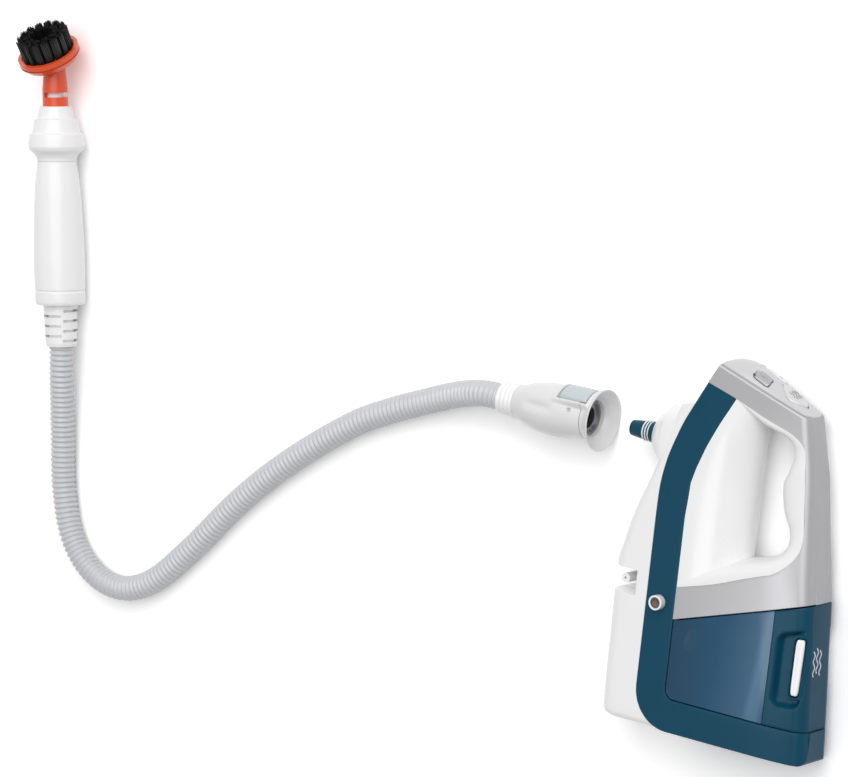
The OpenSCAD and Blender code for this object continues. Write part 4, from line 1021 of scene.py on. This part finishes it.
# %% Steam sign on the rear
def ribbon(line, way, width=1.25):
    """A flat strip along a line on the rear face: four corners to a ring."""
    aside = unit(np.cross(unit(np.gradient(line, axis=0)), way)) * width / 2
    thick = np.asarray(way) * 0.12
    return loft(np.stack([line + aside, line - aside, line - aside - thick,
                          line + aside - thick], 1))


rise = np.linspace(0, 19, 36)
sign = []
for z in (23.5, 28, 32.5):
    y = 54.5 + rise + (2 if z == 28 else 0)
    x = np.interp(y, *REAR_LINE) + 0.1
    sign.append(ribbon(np.column_stack([x, y, z + 1.2 * np.sin(rise * 0.7)]), (1, 0.06, 0)))
piece("tank_grip_sign", sign, "tank", [], MARK, sharp=60)

# %% [markdown]
# ## Coupling
# The coupling is a lathe shape whose radius also depends on the angle: a saddle rises round
# the release button, a shallow oval dent on each side takes a finger and a thumb, and a
# small round hole lets the CAD model's screw show.


# %% Coupling body
ROLL, SCREW_TURN = math.radians(24), math.radians(47)
BUTTON_R, BUTTON_HALF, BUTTON_BACK = 20.5, 9.6, -181.6
SADDLE_R, SADDLE_ANGLE = 21.9, 0.62
SCREW_X, SCREW_HOLE_R, SCREW_HOLE_DEEP = -170, 1.5, 2.9


def from_saddle(angle):
    """The angle away from the middle of the saddle, either way."""
    return np.abs((angle - ROLL + np.pi) % (2 * np.pi) - np.pi)


def coupling_shape(along, angle, radius):
    """The profile's radius, raised to the saddle, dented at the sides, and sunk at the
    button's seat and the screw's hole. The wall's inside, under 14.5 mm, stays round."""
    away = from_saddle(angle)
    raised = step(np.maximum((away - SADDLE_ANGLE) * 20, np.abs(along + 171) - 14.5), 1.8)
    saddle = raised * np.maximum(SADDLE_R - radius, 0)
    dent = 2.2 * np.exp(-((along + 198) / 12) ** 4 - ((away - 0.95) * radius / 4) ** 2)
    seat = 4.2 * step(np.maximum(away * BUTTON_R - BUTTON_HALF, BUTTON_BACK - along), 0.3)
    aside = (np.sin(angle - ROLL) - math.sin(SCREW_TURN)) * 26
    screw_gap = np.hypot(along - SCREW_X, aside) - SCREW_HOLE_R
    hole = SCREW_HOLE_DEEP * step(screw_gap, 0.25) * (np.cos(angle - ROLL) > 0)
    return radius + np.where(radius > 14.5, saddle - dent - np.maximum(seat, hole), 0)


body_profile = [(-226, 4), (-226, 12.2), (-225, 13.0), (-222, 13.9), (-214, 16.8),
                (-206, 18.9), (-197, 20.1), (-189, 20.3), (-181, 19.6), (-174, 18.5),
                (-166, 17.3), (-160.2, 16.7)]
outer = curve(body_profile[1:], steps=6)
stations = np.unique(np.concatenate([outer[:, 0], np.linspace(-184, -160.4, 48)]))
outer = np.column_stack([stations, np.interp(stations, outer[:, 0], outer[:, 1])])
shell_profile = np.vstack([[(-226, 4)], outer, [(-160.2, 14.1), (-202, 14.1), (-202, 4)]])
piece("coupling_body_skin",
      [nozzle_turned(shell_profile, closed=True, sides=240, reshape=coupling_shape)],
      "hose_kit", ["coupling_body"], COUPLING_SHADED_WHITE, sharp=40)

# %% [markdown]
# The collar is a thin flared dish that guides the nozzle in, and the dark metal socket of
# the CAD model shows inside it. Its outside carries the saddle on, so its profile needs
# points close together there. The inside of the dish stays round: a limit radius tells the
# two apart.


# %% Coupling collar
def collar_shape(along, angle, radius):
    """The collar's outside carries the saddle on, with the button's seat sunk in it."""
    away = from_saddle(angle)
    limit = np.interp(along, [-160, -156.5, -153.4, -150.6], [14.8, 15.5, 18.1, 21.2])
    raised = step(np.maximum((away - SADDLE_ANGLE) * 20, along + 152.6), 1.8)
    saddle = radius + raised * np.maximum(SADDLE_R - 0.2 - radius, 0)
    seat = step(np.maximum(away * BUTTON_R - BUTTON_HALF, along + 154.9), 0.3)
    return np.where(radius > limit, saddle - seat * np.maximum(saddle - 18.2, 0), radius)


def dense(profile, longest=0.5):
    """A closed profile with points added so that no side is longer than a limit."""
    ends = np.roll(profile, -1, 0)
    parts = np.ceil(np.linalg.norm(ends - profile, axis=1) / longest).astype(int)
    return np.vstack([a + (b - a) * np.arange(max(n, 1))[:, None] / max(n, 1)
                      for a, b, n in zip(profile, ends, parts)])


collar_profile = soften([(-160, 14), (-160, 16.6), (-156.5, 17.4), (-153.4, 19.3),
                         (-150.6, 22.2), (-149, 24), (-148, 24), (-148, 22.9), (-150.6, 20.2),
                         (-153.5, 16.8), (-156, 14.6), (-157, 14)], 0.9, 5)
piece("coupling_collar_dish",
      [nozzle_turned(dense(collar_profile), closed=True, sides=240, reshape=collar_shape)],
      "hose_kit", ["coupling_collar"], COUPLING_SHADED_WHITE, sharp=45)

# %% [markdown]
# The release button is a curved pad. Each ring crosses it as an arc about the nozzle's axis
# and comes back along a lower arc. Its radius and half width are given at stations along
# the axis, which crowd together at both rounded ends. The cuff behind is a lathe shape with
# four soft rings, where the hose is clamped.

# %% Release button and cuff
spread = np.linspace(-1, 1, 25)
button_x = np.array([-181, -181, -180.2, -178.4, -175, -166, -160.5, -160.4, -158, -156.4,
                     -155.6, -155.5])
button_r = np.array([20.2, 20.8, 21.6, 22.3, 22.6, 22.6, 22.5, 22.5, 22.4, 22.2, 21.8, 21.5])
button_half = np.array([7.6, 7.9, 8.3, 8.7, 8.9, 9, 9, 9, 9, 8.9, 8.6, 8.4])
button_low = np.where(button_x < -160.45, 20.0, 20.9)[:, None]
across = button_half[:, None] * spread[None]
rim_drop = 0.9 * np.abs(spread[None]) ** 14
dome = np.sqrt(np.maximum((button_r[:, None] - rim_drop) ** 2 - across ** 2, 0))
sunk = np.sqrt(np.maximum(button_low ** 2 - across ** 2, 0))


def rolled(x, out, aside):
    """Places a point of the button, 'out' from the nozzle's axis, on the rolled coupling."""
    return np.dstack([x, NOZZLE_Y + out * math.cos(ROLL) - aside * math.sin(ROLL),
                      MID + out * math.sin(ROLL) + aside * math.cos(ROLL)])


over = rolled(button_x[:, None] + 0 * across, dome, across)
under = rolled(button_x[:, None] + 0 * across, sunk, across)
piece("release_button_pad", [loft(np.concatenate([over, under[:, ::-1]], 1))], "release_key",
      ["release_button"], RELEASE, sharp=45)
cuff_along = np.linspace(-242, -226, 90)
cuff_wave = np.abs(np.sin((cuff_along + 242) * np.pi / 4.0)) ** 0.55
cuff_r = 10.9 + 0.075 * (cuff_along + 242) + 1.4 * cuff_wave
cuff_profile = np.vstack([[(-242, 0)], np.column_stack([cuff_along, cuff_r]), [(-226, 0)]])
coupling_cuff = piece("coupling_cuff_rings", [nozzle_turned(cuff_profile)], "hose_kit",
                      ["coupling_cuff"], WHITE, sharp=50)

# %% [markdown]
# ## Wand
# The wand's handle and tip are turned about its own axis, which leans a little off the
# table so that the brush's wider disc clears it. A groove near the hose end marks the seam
# of the end cap.


# %% Wand handle and tip
def wand_turned(profile, **options):
    """A part turned about the wand's axis, from the hose towards the brush."""
    return turned(profile, WAND_AT, WAND_WAY, (0, 0, 1), **options)


grip_curve = curve([(48, 21.2), (66, 21.5), (87, 21.2), (110, 20.4), (131, 19.2),
                    (148, 17.3), (155, 16.5)], steps=6)
grip_profile = np.vstack([soften([(35, 13), (35, 20), (37.5, 21), (46.2, 21.3), (46.6, 20.5),
                                  (47.4, 20.5), (47.8, 21.2), (49, 21.25)], 0.9, 5),
                          grip_curve[2:], [(155, 7.3), (40, 7.3), (40, 13)]])
piece("wand_grip_turned", [wand_turned(grip_profile, closed=True)], "hose_kit",
      ["wand_grip"], WHITE, sharp=50)
tip_profile = soften([(155, 7.2), (155, 16.6), (158, 16.9), (161, 18.6), (164.5, 22.6),
                      (167.5, 23.8), (177, 22.6), (178.4, 22.2), (178.7, 20.1), (190, 18.2),
                      (190.4, 18), (190.8, 15.7), (200.4, 13.4), (201, 13), (201, 7.2)],
                     0.9, 5)
piece("wand_tip_turned", [wand_turned(tip_profile, closed=True)], "hose_kit", ["wand_tip"],
      WHITE, sharp=50)

# %% [markdown]
# ## Brush
# The orange head keeps its CAD shape. The CAD tufts are plain rods, so each is replaced by
# a bundle of bristles. A bristle is a thin five-sided rod that leans outwards a little;
# its place in the tuft, its lean and its length vary with seeded random numbers.

# %% Bristles
TUFT_RINGS = ((16, 18.6), (10, 12.0))
TUFT_R, BRISTLE_TALL, DISC_FACE = 3.25, 18.8, 15.5
BRUSH_AT = WAND_AT + 232 * WAND_WAY
BRUSH_TILT, BRUSH_TURN = math.radians(31.5), math.radians(4.7)
brush_way = np.array([-math.sin(BRUSH_TURN) * math.cos(BRUSH_TILT),
                      math.cos(BRUSH_TURN) * math.cos(BRUSH_TILT), math.sin(BRUSH_TILT)])
brush_u = unit(np.cross((0, 0, 1), brush_way))
brush_v = np.cross(brush_way, brush_u)
chance = np.random.default_rng(11)
tuft_angle = np.concatenate([np.arange(n) * 2 * np.pi / n for n, _ in TUFT_RINGS])
tuft_r = np.concatenate([np.full(n, r) for n, r in TUFT_RINGS])
PER_TUFT = 66
count = len(tuft_r) * PER_TUFT
angle = np.repeat(tuft_angle, PER_TUFT)
centre = np.repeat(tuft_r, PER_TUFT)
spot = TUFT_R * np.sqrt(chance.random(count))
turn = 2 * np.pi * chance.random(count)
u0 = centre * np.cos(angle) + spot * np.cos(turn)
v0 = centre * np.sin(angle) + spot * np.sin(turn)
lean = np.column_stack([u0, v0]) * 0.03 + chance.normal(0, 0.2, (count, 2))
tall = BRISTLE_TALL + chance.normal(0, 0.25, count)
level = np.array([0.0, 0.4, 0.8, 1.0])
thick = np.array([0.42, 0.42, 0.38, 0.16])
five = np.arange(5) * 2 * np.pi / 5
su = u0[:, None, None] + lean[:, None, None, 0] * (level ** 2)[None, :, None] + (
    thick[None, :, None] * np.cos(five))
sv = v0[:, None, None] + lean[:, None, None, 1] * (level ** 2)[None, :, None] + (
    thick[None, :, None] * np.sin(five))
sw = DISC_FACE + tall[:, None, None] * level[None, :, None] + 0 * su
hairs = BRUSH_AT + su[..., None] * brush_u + sv[..., None] * brush_v + sw[..., None] * brush_way
piece("bristle_bundles", [loft(h) for h in hairs], "brush", ["bristle_tufts"],
      BRISTLE, sharp=50)

# %% [markdown]
# ## Floor
# The object lies on a white table. To the lamps the table is an ordinary white, so that it
# takes the object's shadow. Rays from the camera, off gloss and through glass see it a
# little brighter, so that it runs into the white backdrop without an edge.


# %% Floor
def sees_backdrop(tree):
    """A socket that is 1 for rays from the camera, off gloss and through glass, else 0."""
    path = tree.nodes.new("ShaderNodeLightPath")
    total = path.outputs["Is Camera Ray"]
    for ray in ("Is Glossy Ray", "Is Transmission Ray"):
        add = tree.nodes.new("ShaderNodeMath")
        add.operation, add.use_clamp = "ADD", True
        tree.links.new(total, add.inputs[0])
        tree.links.new(path.outputs[ray], add.inputs[1])
        total = add.outputs[0]
    return total


floor = bpy.data.objects.new("floor", bpy.data.meshes.new("floor"))
reach = 6.0
floor.data.from_pydata([(-reach, -reach, -0.0002), (reach, -reach, -0.0002),
                        (reach, reach, -0.0002), (-reach, reach, -0.0002)], [], [(0, 1, 2, 3)])
bpy.context.scene.collection.objects.link(floor)
paper = bpy.data.materials.new("white_table")
paper.use_nodes = True
tree = paper.node_tree
tree.nodes.clear()
diffuse = tree.nodes.new("ShaderNodeBsdfDiffuse")
tone = tree.nodes.new("ShaderNodeMapRange")
tone.inputs["To Min"].default_value = 0.9
tone.inputs["To Max"].default_value = 1.25
paper_out = tree.nodes.new("ShaderNodeOutputMaterial")
tree.links.new(sees_backdrop(tree), tone.inputs["Value"])
tree.links.new(tone.outputs["Result"], diffuse.inputs["Color"])
tree.links.new(diffuse.outputs[0], paper_out.inputs["Surface"])
floor.data.materials.append(paper)
print(f"the floor is {2 * reach:.0f} m wide")

# %% [markdown]
# ## Lamps
# A broad sun from above, the head end and the rear models the forms, and a long soft panel
# beyond the head draws a highlight along the edges. A small oval panel hangs over the
# steamer. Matt surfaces don't take its light: it is there to be mirrored in the lower rear
# of the silver side.

# %% Lamps
def lamp(name, kind, towards, strength, **options):
    """A lamp that shines along a direction; a sun's angle is its softness."""
    light = bpy.data.lights.new(name, kind)
    light.energy = strength
    for option, value in options.items():
        setattr(light, option, value)
    obj = bpy.data.objects.new(name, light)
    bpy.context.scene.collection.objects.link(obj)
    z = -unit(towards)
    x = unit(np.cross((0, 1, 0.01), z))
    obj.matrix_world = Matrix(np.column_stack([x, np.cross(z, x), z]).tolist()).to_4x4()
    return obj


lamp("key", "SUN", (-0.38, -0.4, -0.83), 1.5, angle=math.radians(65))
edge_panel = lamp("edge_panel", "AREA", (0.1, -0.8, -0.75), 4.0, shape="RECTANGLE", size=1.6,
                  size_y=0.5)
edge_panel.location = (-0.1, 1.3, 1.25)
rear_panel = lamp("rear_panel", "AREA", (0.385, 0.031, -0.921), 0.27, shape="ELLIPSE", size=0.16,
                  size_y=0.26)
rear_panel.location = (-0.09, 0.03, 0.42)
rear_panel.visible_diffuse = False
print(len(bpy.data.lights), "lamps")

# %% [markdown]
# ## World
# The world fills the shadows. Its light grows upwards, is dimmer from the rear and brighter
# from the head end: three ramps, one for each axis, multiplied. Rays from the camera, off
# gloss and through glass see a plain white backdrop instead.

# %% World
world = bpy.data.worlds.new("studio")
bpy.context.scene.world = world
world.use_nodes = True
tree = world.node_tree
tree.nodes.clear()


def world_node(kind, **values):
    """A node of the world's tree with its plain values set."""
    node = tree.nodes.new(kind)
    for socket, value in values.items():
        node.inputs[socket.replace("_", " ")].default_value = value
    return node


where, split = world_node("ShaderNodeTexCoord"), world_node("ShaderNodeSeparateXYZ")
upward = world_node("ShaderNodeMapRange", From_Min=-0.2, From_Max=1.0, To_Min=0.36, To_Max=0.66)
rear_dark = world_node("ShaderNodeMapRange", From_Min=0.45, From_Max=0.85, To_Min=1.0,
                       To_Max=0.35)
top_bright = world_node("ShaderNodeMapRange", From_Min=0.4, From_Max=0.85, To_Min=1.0,
                        To_Max=1.8)
both, all_three = world_node("ShaderNodeMath"), world_node("ShaderNodeMath")
both.operation = all_three.operation = "MULTIPLY"
sky = world_node("ShaderNodeBackground")
plain = world_node("ShaderNodeBackground", Strength=1.0, Color=(1, 1, 1, 1))
mix, out = world_node("ShaderNodeMixShader"), world_node("ShaderNodeOutputWorld")
for a, b in ((where.outputs["Generated"], split.inputs[0]),
             (split.outputs["Z"], upward.inputs["Value"]),
             (split.outputs["X"], rear_dark.inputs["Value"]),
             (upward.outputs["Result"], both.inputs[0]),
             (rear_dark.outputs["Result"], both.inputs[1]),
             (split.outputs["Y"], top_bright.inputs["Value"]),
             (both.outputs[0], all_three.inputs[0]),
             (top_bright.outputs["Result"], all_three.inputs[1]),
             (all_three.outputs[0], sky.inputs["Strength"]),
             (sees_backdrop(tree), mix.inputs[0]),
             (sky.outputs[0], mix.inputs[1]), (plain.outputs[0], mix.inputs[2]),
             (mix.outputs[0], out.inputs["Surface"])):
    tree.links.new(a, b)
bpy.context.scene.view_settings.view_transform = "Standard"
print("the world has", len(tree.nodes), "nodes")
